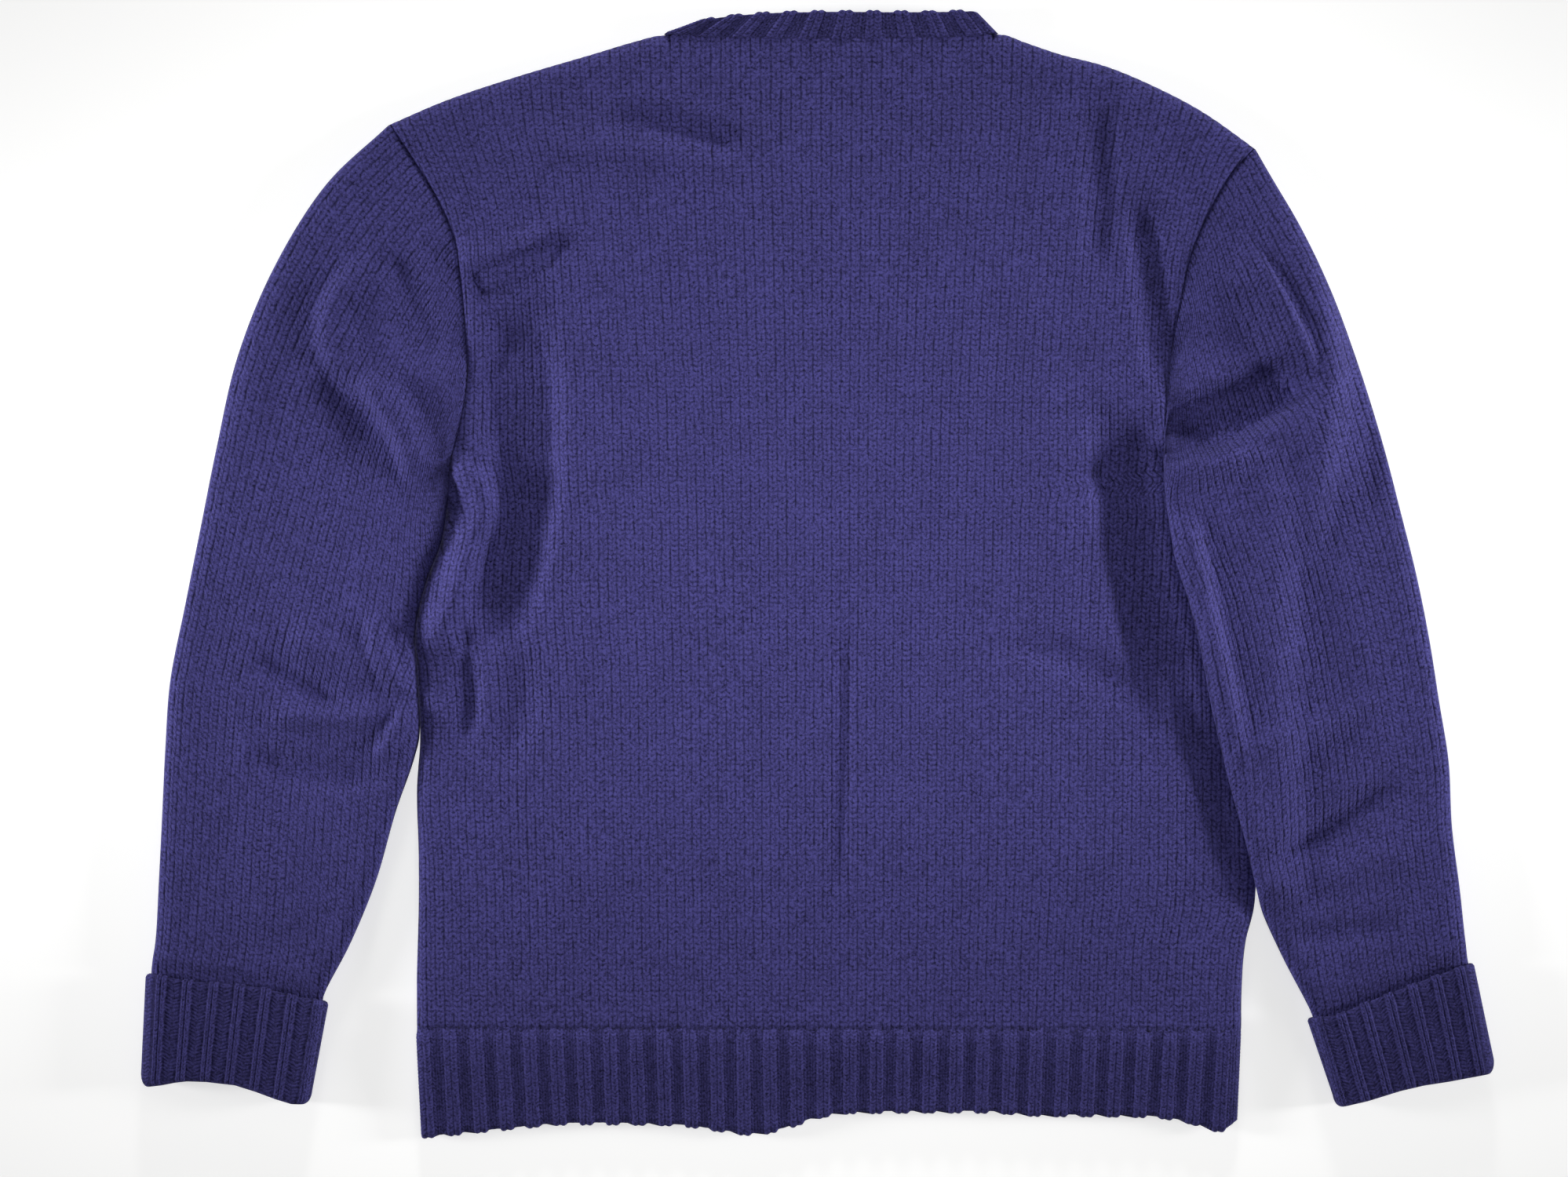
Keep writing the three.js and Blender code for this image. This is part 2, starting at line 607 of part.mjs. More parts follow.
function neckband() {
  const length = NECK.right - NECK.left;
  const radius = 4.6;
  const ribs = ribSteps(NECK_RIBS);
  const ribbed = ribs.map(({ share }) => lerp(radius, length - radius, share));
  const ends = edgeSteps(length, 1, radius).filter((d) => d <= radius / 2 || d >= length - radius / 2);
  const upper = [...ends, ...ribbed].sort((a, b) => a - b);
  const riseAt = (share) => {
    const found = ribbed.findIndex((d) => Math.abs(d / length - share) < 1e-6);
    return found < 0 ? 0 : ribs[found].rise * 0.8;
  };
  const place = (up) => (share) => {
    const x = lerp(NECK.left, NECK.right, share);
    const seam = new THREE.Vector3(x, lineAt(backLine, x) + SEAM_GAP * 1.2, 0);
    const free = new THREE.Vector3(lerp(NECK_FREE_EDGE.left, NECK_FREE_EDGE.right, share), 0, 0);
    free.y = lerp(NECK_FREE_EDGE.leftY, NECK_FREE_EDGE.rightY, share);
    free.y += (NECK_FREE_EDGE.middleY - free.y) * Math.sin(Math.PI * share);
    return between(seam, free, up);
  };
  const loop = (up, inset) => flatLoop({
    steps: { upper, lower: edgeSteps(length, NECK_FRONT_STEPS, radius) },
    place: place(up),
    length,
    low: () => 0,
    high: (point) => bodyTop(point.x, 330) + NECK_LIFT * up,
    radius,
    inset,
    rise: inset ? () => 0 : riseAt,
    shift: (share) => {
      const x = lerp(NECK.left, NECK.right, share);
      return lineAt(backLine, x) - lineAt(frontLine, x);
    },
  });
  return ringSolid([loop(0, 0), loop(0.5, 0), loop(1, 0), loop(1, WALL), loop(0, WALL)]);
}

const NAVY = 0x2f2b56;
const NAVY_RIB = 0x26234a;
const wool = (colour) => new THREE.MeshStandardMaterial({ color: colour, roughness: 0.95, metalness: 0 });

const sweater = new THREE.Group();
const cuffs = { left: cuffPlan(CUFF_LEFT), right: cuffPlan(CUFF_RIGHT) };

function add(name, geometry, colour) {
  const mesh = new THREE.Mesh(geometry, wool(colour));
  mesh.name = name;
  sweater.add(mesh);
}

add('front_panel', frontPanel(), NAVY);
add('back_panel', backPanel(), NAVY);
add('hem_rib_front', hemRibFront(), NAVY_RIB);
add('hem_rib_back', hemRibBack(), NAVY_RIB);
add('sleeve_left', sleeve('left', SLEEVE_LEFT, cuffs.left), NAVY);
add('sleeve_right', sleeve('right', SLEEVE_RIGHT, cuffs.right), NAVY);
add('cuff_left', cuffSolid(cuffs.left), NAVY_RIB);
add('cuff_right', cuffSolid(cuffs.right), NAVY_RIB);
add('neckband', neckband(), NAVY_RIB);

// The origin is under the middle of the sweater
const bounds = new THREE.Box3().setFromObject(sweater);
const middle = bounds.getCenter(new THREE.Vector3());
sweater.position.set(-middle.x, -middle.y, -bounds.min.z);

export default sweater;
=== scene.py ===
"""A heavy navy wool sweater, laid flat on its front with its back up.

The sizes below are millimetres in the drawing frame of the knitted pieces: +X to the right of a
viewer above the table, +Y towards the neck, +Z up. Left and right are the viewer's.
"""

import bmesh
import bpy
import numpy as np
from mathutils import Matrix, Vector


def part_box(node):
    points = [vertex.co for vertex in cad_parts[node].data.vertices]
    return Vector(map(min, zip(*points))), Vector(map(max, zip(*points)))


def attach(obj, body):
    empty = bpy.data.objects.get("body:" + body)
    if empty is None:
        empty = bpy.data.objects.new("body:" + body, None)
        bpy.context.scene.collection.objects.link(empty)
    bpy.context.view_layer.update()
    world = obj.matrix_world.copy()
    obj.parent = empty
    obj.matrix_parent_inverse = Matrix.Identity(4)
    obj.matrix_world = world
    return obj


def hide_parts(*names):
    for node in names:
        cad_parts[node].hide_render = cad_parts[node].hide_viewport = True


bl_info = {
    "name": "Wool Sweater",
    "version": (1, 0, 0),
    "blender": (4, 5, 0),
    "location": "3D View > Sidebar > Sweater",
    "description": "Builds a laid out wool sweater from knitted pieces",
    "category": "Object",
}

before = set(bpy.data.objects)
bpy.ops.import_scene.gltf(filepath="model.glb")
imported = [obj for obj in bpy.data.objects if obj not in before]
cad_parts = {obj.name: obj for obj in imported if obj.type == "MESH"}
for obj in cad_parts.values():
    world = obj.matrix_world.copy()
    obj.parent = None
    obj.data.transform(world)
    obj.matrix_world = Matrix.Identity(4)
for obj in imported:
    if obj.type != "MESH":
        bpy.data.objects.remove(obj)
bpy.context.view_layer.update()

MM = 0.001

# Cloth
WALL = 3.0
SEAM_GAP = 0.3
LAYER_GAP = 0.4
COURSE = 3.25
RIB_COURSE = 2.2
HIDDEN_PITCH = 5.6
LINING_PITCH = 5.5
COLUMNS_PER_WALE = 6
MERGE_WITHIN = 0.02
NEEDLE_LENGTH = 0.005
EDGE_INSET = 0.55

# Heights of the upper layer over the table
BODY_LOFT = 19.0
BODY_SIDE_LOFT = 13.0
BODY_LEAST = 6.8
PRESSED_LOFT = 8.2
# Where the body's middle loft falls off: across from the middle, up to the neck, down to the hem
BODY_HALF = 250.0
LOFT_FALLS_UP = (150, 340)
LOFT_FALLS_DOWN = (150, 300)
SLEEVE_LOFT = 15.5
SLEEVE_LEAST = 6.9
SEAM_CLEARANCE = 0.05
SEAM_DIP = 2.2
SEAM_DIP_WIDTH = 7.0
# The line of stitches along an armhole seam: depth, width on the body and share of the sleeve
STITCH_LINE = 2.0
STITCH_LINE_WIDTH = 2.0
STITCH_LINE_SHARE = 0.004
BODY_ROLL = 11.0
SLEEVE_ROLL = 13.0
SEAM_ROLL_SHARE = 0.55
SEAM_ROLL_ENDS = 0.08

# Body
HEM_TOP_Y = -283.0
CENTRE_X = 8.0
NECK_LEFT = -96.0
NECK_RIGHT = 112.0
NECK_DROP = 58.0
NECK_SOFT = 10.0
NECK_TURN = 12.0
NECK_SCOOP_POWER = 1.6
FRONT_DROP_ENDS = 0.9
ARMPIT_Y = 44.0
BODY_ROW_STEP = 4.1
BODY_FIRST_ROWS = (0.0, 0.6, 1.4, 2.5, 3.9, 5.6, 7.6, 10.0, 13.0)
ARMPIT_BULGE = 9.0
ARMPIT_BULGE_FROM_EDGE = 14.0
ARMPIT_BULGE_HEIGHT = 30.0
# Rows over which the sides begin to roll down: 1 is the armpit and 2 the hem
SIDE_ROLL_LEFT = (0.985, 1.02)
SIDE_ROLL_RIGHT = (1.04, 1.1)
# The right armhole seam dips only above the cloth that lies on it
RIGHT_DIP = (80, 94)
# Wales are lower along the body's edges, and flat under the right sleeve
EDGE_WALES = 0.35
EDGE_WALES_WIDTH = 2.5
COVERED_SOFT = 6.0
COVERED_FROM = -206
COVERED_TO = 66

# Mesh: columns on a rib, rows along cuff and neckband, and the coarser hidden faces
HEM_RIB_COLUMNS = 16
CUFF_RIB_COLUMNS = 22
NECK_RIB_COLUMNS = 24
CUFF_ROWS = 82
NECK_ROWS = 34
FRONT_COLUMNS = 109
COARSE_COLUMNS = 41
LINING_ROWS = 5
LINING_COLUMNS = 31

# Hem
HEM_RIBS = 31
HEM_WAVE = 1.1
# Radians for each millimetre of the three waves in the hem's seam
HEM_WAVE_LONG = 0.42
HEM_WAVE_SWELL = 0.13
HEM_WAVE_SHORT = 1.1
HEM_FRONT_SHORTER = 2.0
HEM_ROLL = 8.0
HEM_DEPTH = 61
HEM_END_ROLL = 4
HEM_END_HEIGHT = 0.45
HEM_END_LOFT = 1.5
HEM_SCALLOP = 0.4

# Neckband
NECK_RIBS = 10
NECK_LIFT = 2.0
NECK_ROLL = 4.6
NECK_FREE_LEFT = (-76.0, 340.0)
NECK_FREE_RIGHT = (100.0, 347.0)
NECK_FREE_MIDDLE_Y = 346.0
NECK_FREE_POWER = 0.6
NECK_SEAM_Y = 330.0
NECK_DEPTH = 16
NECK_ROUNDING = 1.4
NECK_RELIEF = 0.9

# Cuffs and the sleeves' ends in them
CUFF_HIGH = 16.5
CUFF_RIBS = 6
CUFF_CORNER = 5.5
CUFF_TOP_CORNER = 0.35
CUFF_RIM = 1.2
CUFF_RIM_WIDTH = 5.0
CUFF_EDGE = 0.8
SLEEVE_INTO_CUFF = 12.0

# Where the right sleeve lies on the body
LEDGE_LEFT = (214.0, 66.0)
LEDGE_RIGHT = (262.0, 56.0)
REST_HEIGHT = 9.2
REST_REACH = 10.0
REST_END = 34.0
REST_UPPER_END = 24.0
REST_FOLLOWS = 0.2
COVER_SOFT = 18
COVER_ABOVE_LEDGE = 14
COVER_LOWEST = -212
SLEEVE_LEAVES = (196, 214)

# The left sleeve leaves the body's side between these y
LEFT_LEAVES = (-114, -92)
SIDE_CONTACT = 0.6
# From here above a cuff's free edge the sleeve rises on the inner layer and thins to fit in
RISES_TO_CUFF = (-16, -2)
THINS_TO_CUFF = (-14, -3)
SLEEVE_FIRST_ROWS = (0, 0.7, 1.6, 2.8, 4.4)
SLEEVE_EVEN_FROM = 6.5
SLEEVE_ROW_STEP = 3.3
SLEEVE_SEAM_WIDTH = 0.05
SLEEVE_HEAD = 0.06
UNDER_ARM = 1.2
UNDER_ARM_UPPER = (76, 84)
UNDER_ARM_LOWER = (62, 70)
BEND_FADES_AT = 0.42

# The photograph's frame on the table, and the camera over its middle
PHOTO_WIDTH = 979.0
PHOTO_MIDDLE = (-21.3, -10.0)
CAMERA_HEIGHT = 1.9
SENSOR_WIDTH = 36.0

# Floor and soft lights, in metres: two low at the sides, one low beyond the neck, one above
FLOOR_HALF = 2.0
FLOOR_Z = -0.0004
LIGHT_AWAY = 2.1
LIGHT_HEIGHT = 0.54
LIGHT_SIZE = 0.45
LIGHT_SPREAD = 0.56
UPPER_LIGHT = (0.0, 3.2, 0.82)
UPPER_SPREAD = 0.42
TOP_LIGHT_HEIGHT = 2.2

# Upper outline from the left shoulder tip over the back neckline to the right one: x, y
TOP_EDGE = (
    (-267, 279), (-232, 294), (-189, 308.5), (-140, 323), (-115, 330.5), (-98, 334.5), (-80, 333),
    (-40, 331.5), (8, 331), (60, 331.5), (97, 333), (115, 335), (128, 330.5), (150, 323),
    (180, 315), (213, 301), (240, 286.5), (272, 264),
)

# Armhole seams from shoulder tip to armpit: x, y
ARMHOLE_LEFT = (
    (-267, 279), (-251, 255), (-236, 230), (-226, 205), (-222, 175), (-219.5, 145),
    (-219, 118), (-223, 92), (-229, 68), (-231, 44),
)
ARMHOLE_RIGHT = (
    (272, 264), (258.5, 250), (248, 233), (238, 213), (231, 194), (226, 171),
    (220.5, 140), (217, 112), (214, 73),
)

# Sides from armpit to the hem rib: x, y
SIDE_LEFT = (
    (-231, 44), (-235, 19), (-244, -5), (-251, -35), (-250, -62), (-248, -103), (-250, -135),
    (-249, -175), (-249, -211), (-250, -250), (-250, -283),
)
SIDE_RIGHT = (
    (214, 73), (222, 67), (262, 56), (267, 20), (268, -35), (270, -90), (272, -150), (272, -206),
    (266, -232), (264, -258), (263.5, -284),
)

# Lower edge of the hem rib: x, y
HEM_EDGE = (
    (-247, -351), (-222, -348.6), (-183, -344.7), (-163, -342.8), (-84, -343.7), (-65, -346.2),
    (-39, -349), (-16, -344), (-6, -340.3), (13.5, -336), (33, -335.4), (111, -335.4), (131, -337),
    (209, -338.3), (229, -341.3), (251, -346.7), (261, -341),
)

# Sleeve sections from the armhole to just above the cuff: outer x, outer y, inner x, inner y
SLEEVE_SECTIONS = {
    "left": (
        (-267, 279, -231, 44), (-307, 240, -232, 38), (-339, 188, -234, 28), (-361, 134, -237, 14),
        (-374, 78, -243, -4), (-384, 28, -250, -28), (-394, -22, -252, -52), (-403, -68, -250, -80),
        (-406, -110, -249, -106), (-408, -152, -263, -150), (-410, -192, -275, -192),
        (-412, -228, -291, -231),
    ),
    "right": (
        (272, 264, 214, 73), (300, 213, 213.5, 65), (322, 167, 214, 55), (338, 124, 215, 43),
        (350, 85, 217, 29), (361, 42, 220, 10), (372, -2, 228, -16), (380, -42, 236, -48),
        (386, -80, 243, -84), (392, -118, 253, -126), (394, -158, 264, -166),
        (399, -198, 274, -206), (402, -226, 288, -238),
    ),
}

# Corners of the cuffs: x, y of the free upper edge and of the fold at the bottom
CUFF_CORNERS = {
    "left": {"top": ((-418, -251), (-304.5, -268)), "end": ((-421, -320), (-315, -331))},
    "right": {"top": ((407.5, -245), (304, -277.5)), "end": ((420.5, -311), (320.5, -333))},
}
# How far a cuff's edges bow up from a straight line: share from the outer side and bow
CUFF_BOWS = {
    "left": {
        "top": ((0, 2), (0.05, 3), (0.15, 2.1), (0.3, 2.1), (0.5, 4.1), (0.66, 4.3), (0.79, 2.6),
                (1, 1.6)),
        "end": ((0, 1.2), (0.05, 1.4), (0.13, 3.3), (0.21, 5.8), (0.28, 7.4), (0.39, 8.2), (0.56, 8),
                (0.68, 5.3), (0.8, 1.9), (0.89, 0), (1, 0.8)),
    },
    "right": {
        "top": ((0, 3), (0.06, 3.4), (0.35, 2), (0.55, 0.4), (0.7, -1), (0.82, -2.4), (0.92, -1),
                (1, 1)),
        "end": ((0, 0.6), (0.3, 1.6), (0.45, 2.6), (0.6, 2.4), (0.8, 0.6), (1, 0.4)),
    },
}

# Knit of the body, from the hem up: y and the width of a wale there
BODY_PITCH = ((-283, 5.3), (-50, 5.45), (73, 5.6), (118, 5.7), (205, 6.0), (279, 6.25))
# Wales from the centre to the edge: y and their number
WALES_LEFT = ((-283, 48.5), (-60, 47.4), (-5, 45.5), (44, 42.6), (118, 41), (205, 42.2), (279, 44))
WALES_RIGHT = ((-284, 48.2), (-60, 47.4), (56, 45.7), (67, 38.3), (73, 36.8), (118, 38.4),
               (194, 40.3), (264, 42.5))
# Knit of the sleeves: share of the way to the cuff and the width of a wale there
SLEEVE_PITCH = ((0.0, 5.9), (0.25, 5.7), (0.6, 5.4), (1.0, 5.15))

# Folds: start, middle and end of the crest or trough, its half widths to the left and to the
# right of that direction, its height and, where its rim is firm, how firm
BODY_FOLDS = (
    # Ridge under the left arm
    (-238, 74, -206, 46, -218, 16, 12, 14, 9),
    (-212, 38, -224, -12, -244, -54, 14, 14, 9),
    # Valley beside it, with a firm edge towards the middle
    (-190, 190, -181, 62, -211, -60, 28, 30, -14.5, 1.3),
    (-226, 150, -208, 118, -203, 70, 16, 18, -4),
    # Crease from the left armhole to the shoulder blade
    (-216, 180, -195, 188, -148, 211, 5, 13, -9, 1.3),
    (-230, 192, -192, 197, -146, 216, 17, 8, 6.5, 1.2),
    (-226, -48, -216, -76, -222, -118, 12, 14, -4),
    (-232, -20, -214, -66, -226, -110, 8, 8, -2),
    (-136, 284, -84, 277, -38, 262, 9, 16, -6, 1.3),
    (-190, 262, -130, 262, -64, 250, 16, 14, 2.5),
    # Soft troughs beside the right armhole
    (176, 306, 177, 240, 172, 170, 15, 20, -6, 1.4),
    (196, 246, 207, 178, 215, 104, 16, 17, -8, 1.3),
    # Valley beside the right sleeve
    (186, 122, 196, 10, 226, -104, 30, 26, -14, 1.5),
    (222, -30, 244, -140, 276, -216, 16, 14, -7),
    # Hollow at the waist on the left, and a crease into the valley on the right
    (-198, -44, -182, -82, -206, -124, 20, 24, -5),
    (104, -44, 158, -52, 214, -84, 10, 16, -4.5),
    # Long faint waves of the lower back
    (20, -4, 16, -116, 12, -226, 9, 14, -3.0),
    (-60, 60, -58, -60, -70, -190, 40, 44, 1.2),
    (110, 40, 116, -80, 104, -210, 40, 40, 1.2),
    (226, -90, 214, -180, 206, -262, 18, 22, 2),
    (-214, -130, -190, -180, -196, -250, 26, 22, -1.6),
    (-150, 130, -140, 20, -150, -90, 14, 30, 1.6),
    (148, 110, 150, 20, 170, -70, 26, 12, 1.4),
)
SLEEVE_FOLDS = {
    "left": (
        # Pouch of the sleeve head, with a hollow on both sides of its crest
        (-262, 202, -303, 150, -258, 94, 24, 13, 7),
        (-284, 124, -262, 92, -246, 48, 20, 11, 10),
        (-268, 208, -250, 168, -228, 122, 15, 17, -4.5),
        (-300, 134, -286, 104, -266, 74, 12, 26, -4.5),
        (-330, 240, -345, 150, -362, 60, 24, 26, 2),
        # Creases at the elbow
        (-354, -50, -322, -66, -292, -82, 12, 12, -5),
        (-334, -36, -298, -50, -262, -64, 22, 16, 5),
        (-350, -88, -304, -90, -262, -88, 12, 12, 6),
        (-358, -106, -312, -124, -262, -122, 12, 14, -6),
        (-274, -22, -270, -50, -254, -80, 10, 11, 6),
        (-254, -80, -262, -100, -276, -118, 9, 9, 5),
        (-386, 10, -372, -70, -384, -150, 20, 24, -1.5),
        (-330, -140, -336, -190, -330, -236, 30, 30, 1.5),
    ),
    "right": (
        # Crest over the sleeve head, steep on its outer side
        (268, 256, 312, 136, 284, -20, 22, 42, 11),
        (318, 214, 342, 120, 338, 20, 18, 20, -5),
        (258, 212, 288, 160, 306, 116, 8, 30, 8, 1.4),
        # Hollow across the sleeve at the armpit, with a lip under it
        (196, 82, 248, 92, 318, 130, 26, 13, -26, 1.5),
        (206, 62, 252, 73, 314, 108, 7, 22, 10.5),
        # Full inner edge of the lower sleeve
        (224, 46, 238, -22, 266, -140, 12, 34, 7),
        (300, 10, 318, -60, 330, -120, 24, 24, -2),
        (252, -116, 300, -98, 352, -76, 12, 16, 6),
        (260, -192, 318, -156, 366, -128, 14, 13, -6),
        (300, -196, 340, -180, 372, -172, 14, 14, 3),
        (290, -226, 326, -223, 362, -218, 10, 10, -4),
    ),
}


def mixed(a, b, share):
    return a + (b - a) * share


def smoothstep(value, low, high):
    t = np.clip((value - low) / (high - low), 0.0, 1.0)
    return t * t * (3.0 - 2.0 * t)


def round_rise(q):
    """The height of a quarter circle from its edge to its crown."""
    return np.sqrt(np.clip(1.0 - (1.0 - np.clip(q, 0.0, 1.0)) ** 2, 0.0, 1.0))


def by_table(value, table):
    return np.interp(value, *zip(*table))


def pairs(first, second):
    return np.stack(np.broadcast_arrays(first, second), axis=-1)


def every(rows, step):
    """Every step-th row, and the last one."""
    return rows[np.unique(np.append(np.arange(0, len(rows), step), len(rows) - 1))]


def curve_through(points, fine):
    """A centripetal Catmull-Rom curve, with fine steps between neighbouring points."""
    ends = np.vstack([2 * points[0] - points[1], points, 2 * points[-1] - points[-2]])
    parts = []
    for a, b, c, d in zip(ends, ends[1:], ends[2:], ends[3:]):
        before, here, after = (np.linalg.norm(q - p) ** 0.5 for p, q in ((a, b), (b, c), (c, d)))
        leave = ((b - a) / before - (c - a) / (before + here) + (c - b) / here) * here
        arrive = ((c - b) / here - (d - b) / (here + after) + (d - c) / after) * here
        t = np.linspace(0.0, 1.0, fine, endpoint=False)[:, None]
        bow = t**2 * (3 * (c - b) - 2 * leave - arrive) + t**3 * (2 * (b - c) + leave + arrive)
        parts.append(b + t * leave + bow)
    return np.vstack([*parts, points[-1:]])


class Line:
    """A smooth plan curve through points, kept as a fine line of points."""

    FINE = 24

    def __init__(self, rows):
        self.points = curve_through(np.array(rows, float), self.FINE)
        steps = np.linalg.norm(np.diff(self.points, axis=0), axis=1)
        self.distances = np.concatenate([[0.0], np.cumsum(steps)])
        self.length = self.distances[-1]

    def _read(self, places, at):
        columns = [np.interp(at, places, column) for column in self.points.T]
        return np.stack(columns, axis=-1)

    def at(self, distance):
        return self._read(self.distances, distance)

    def part(self, share):
        """The point after a share of the curve's stretches."""
        last = len(self.points) - 1
        return self._read(np.arange(last + 1), np.asarray(share) * last)

    def y_at(self, x):
        return np.interp(x, self.points[:, 0], self.points[:, 1])

    def x_at(self, y):
        """The x of a line that runs downwards."""
        return np.interp(-np.asarray(y), -self.points[:, 1], self.points[:, 0])


class Fold:
    """A soft crest or trough along a bent path, which fades to its sides and ends."""

    STEPS = 14
    END_FADE = 0.28

    def __init__(self, x0, y0, xm, ym, x1, y1, left, right, rise, crisp=1.0):
        start, middle, end = (np.array(p, float) for p in ((x0, y0), (xm, ym), (x1, y1)))
        control = 2 * middle - (start + end) / 2
        t = np.linspace(0.0, 1.0, self.STEPS + 1)[:, None]
        self.path = (1 - t) ** 2 * start + 2 * t * (1 - t) * control + t**2 * end
        self.left, self.right, self.rise, self.crisp = left, right, rise, crisp

    def heights(self, x, y):
        reach = max(self.left, self.right)
        low, high = self.path.min(0) - reach, self.path.max(0) + reach
        near = (x > low[0]) & (x < high[0]) & (y > low[1]) & (y < high[1])
        heights = np.zeros(x.shape)
        place = pairs(x[near], y[near])
        best = np.full(len(place), np.inf)
        side = np.zeros(len(place))
        along = np.zeros(len(place))
        for i, (a, b) in enumerate(zip(self.path, self.path[1:])):
            step = b - a
            t = np.clip((place - a) @ step / (step @ step), 0.0, 1.0)
            away = place - a - t[:, None] * step
            distance = np.hypot(*away.T)
            closer = distance < best
            best = np.where(closer, distance, best)
            turn = step[0] * (place[:, 1] - a[1]) - step[1] * (place[:, 0] - a[0])
            side = np.where(closer, turn, side)
            along = np.where(closer, (i + t) / self.STEPS, along)
        q = np.clip(best / np.where(side > 0, self.left, self.right), 0.0, 1.0)
        ends = smoothstep(along, 0, self.END_FADE) * smoothstep(1 - along, 0, self.END_FADE)
        heights[near] = self.rise * np.cos(np.pi * q**self.crisp / 2) ** 2 * ends
        return heights


def sum_of(folds, x, y):
    return sum((fold.heights(x, y) for fold in folds), np.zeros(x.shape))


top_edge = Line(TOP_EDGE)
armhole = {"left": Line(ARMHOLE_LEFT), "right": Line(ARMHOLE_RIGHT)}
side_line = {"left": Line(SIDE_LEFT), "right": Line(SIDE_RIGHT)}
hem_edge = Line(HEM_EDGE)
cover_edge = Line([(row[2], row[3]) for row in SLEEVE_SECTIONS["right"]])
body_folds = [Fold(*row) for row in BODY_FOLDS]
sleeve_folds = {name: [Fold(*row) for row in rows] for name, rows in SLEEVE_FOLDS.items()}

SHOULDER_TIPS = (np.array(TOP_EDGE[0], float), np.array(TOP_EDGE[-1], float))
LEFT_HIP = np.array(SIDE_LEFT[-1], float)
RIGHT_HIP = np.array(SIDE_RIGHT[-1], float)


def drawing_shift():
    """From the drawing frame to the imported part: the front hem's solid shows its place."""
    low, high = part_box("hem_rib_front")
    return np.array([low.x - LEFT_HIP[0] * MM, high.y - (HEM_TOP_Y - SEAM_GAP) * MM, 0.0])


SHIFT = drawing_shift()


class Lay:
    """The knit's sizes and the heights over the table of the garment as it lies."""

    def __init__(self, knit):
        self.folds = knit.fold_strength
        self.wale_relief = knit.wale_relief / MM
        self.rib_relief = knit.rib_relief / MM
        self.body_loft = knit.body_loft / MM
        self.sleeve_loft = knit.sleeve_loft / MM

    def body_top(self, x, y):
        """The back's upper face, pressed down where the right sleeve lies on it."""
        sideways = np.abs(x - CENTRE_X) / BODY_HALF
        loft = mixed(self.body_loft, BODY_SIDE_LOFT, smoothstep(sideways, 0.5, 1.0))
        towards_ends = smoothstep(y, *LOFT_FALLS_UP) + smoothstep(-y, *LOFT_FALLS_DOWN)
        free = mixed(loft, BODY_SIDE_LOFT, np.clip(towards_ends, 0, 1))
        free = free + self.folds * sum_of(body_folds, x, y)
        covered = smoothstep(x - cover_edge.x_at(y), -COVER_SOFT, 0)
        beyond = (y > LEDGE_LEFT[1] + COVER_ABOVE_LEDGE) | (y < COVER_LOWEST)
        covered = np.where(beyond, 0, covered)
        return np.maximum(BODY_LEAST, mixed(free, PRESSED_LOFT, covered))

    def under_sleeve(self, x, y):
        """What lies under a sleeve: the table, or the body's side."""
        share = np.clip((x - LEDGE_LEFT[0]) / (LEDGE_RIGHT[0] - LEDGE_LEFT[0]), 0, 1)
        ledge = mixed(LEDGE_LEFT[1], LEDGE_RIGHT[1], share)
        beside = x - side_line["right"].x_at(np.minimum(y, LEDGE_RIGHT[1]))
        stretch = (REST_END - REST_REACH) / (REST_UPPER_END - REST_REACH)
        outside = np.maximum(beside, REST_REACH + (y - ledge - REST_REACH) * stretch)
        leaves = smoothstep(-y, *SLEEVE_LEAVES)
        lifted = REST_HEIGHT * (1 - smoothstep(outside, REST_REACH, REST_END)) * (1 - leaves)
        return np.where(x < CENTRE_X, 0.0, lifted)


GRID_SIDES = (np.s_[0, :], np.s_[-1, :], np.s_[:, 0], np.s_[:, -1])


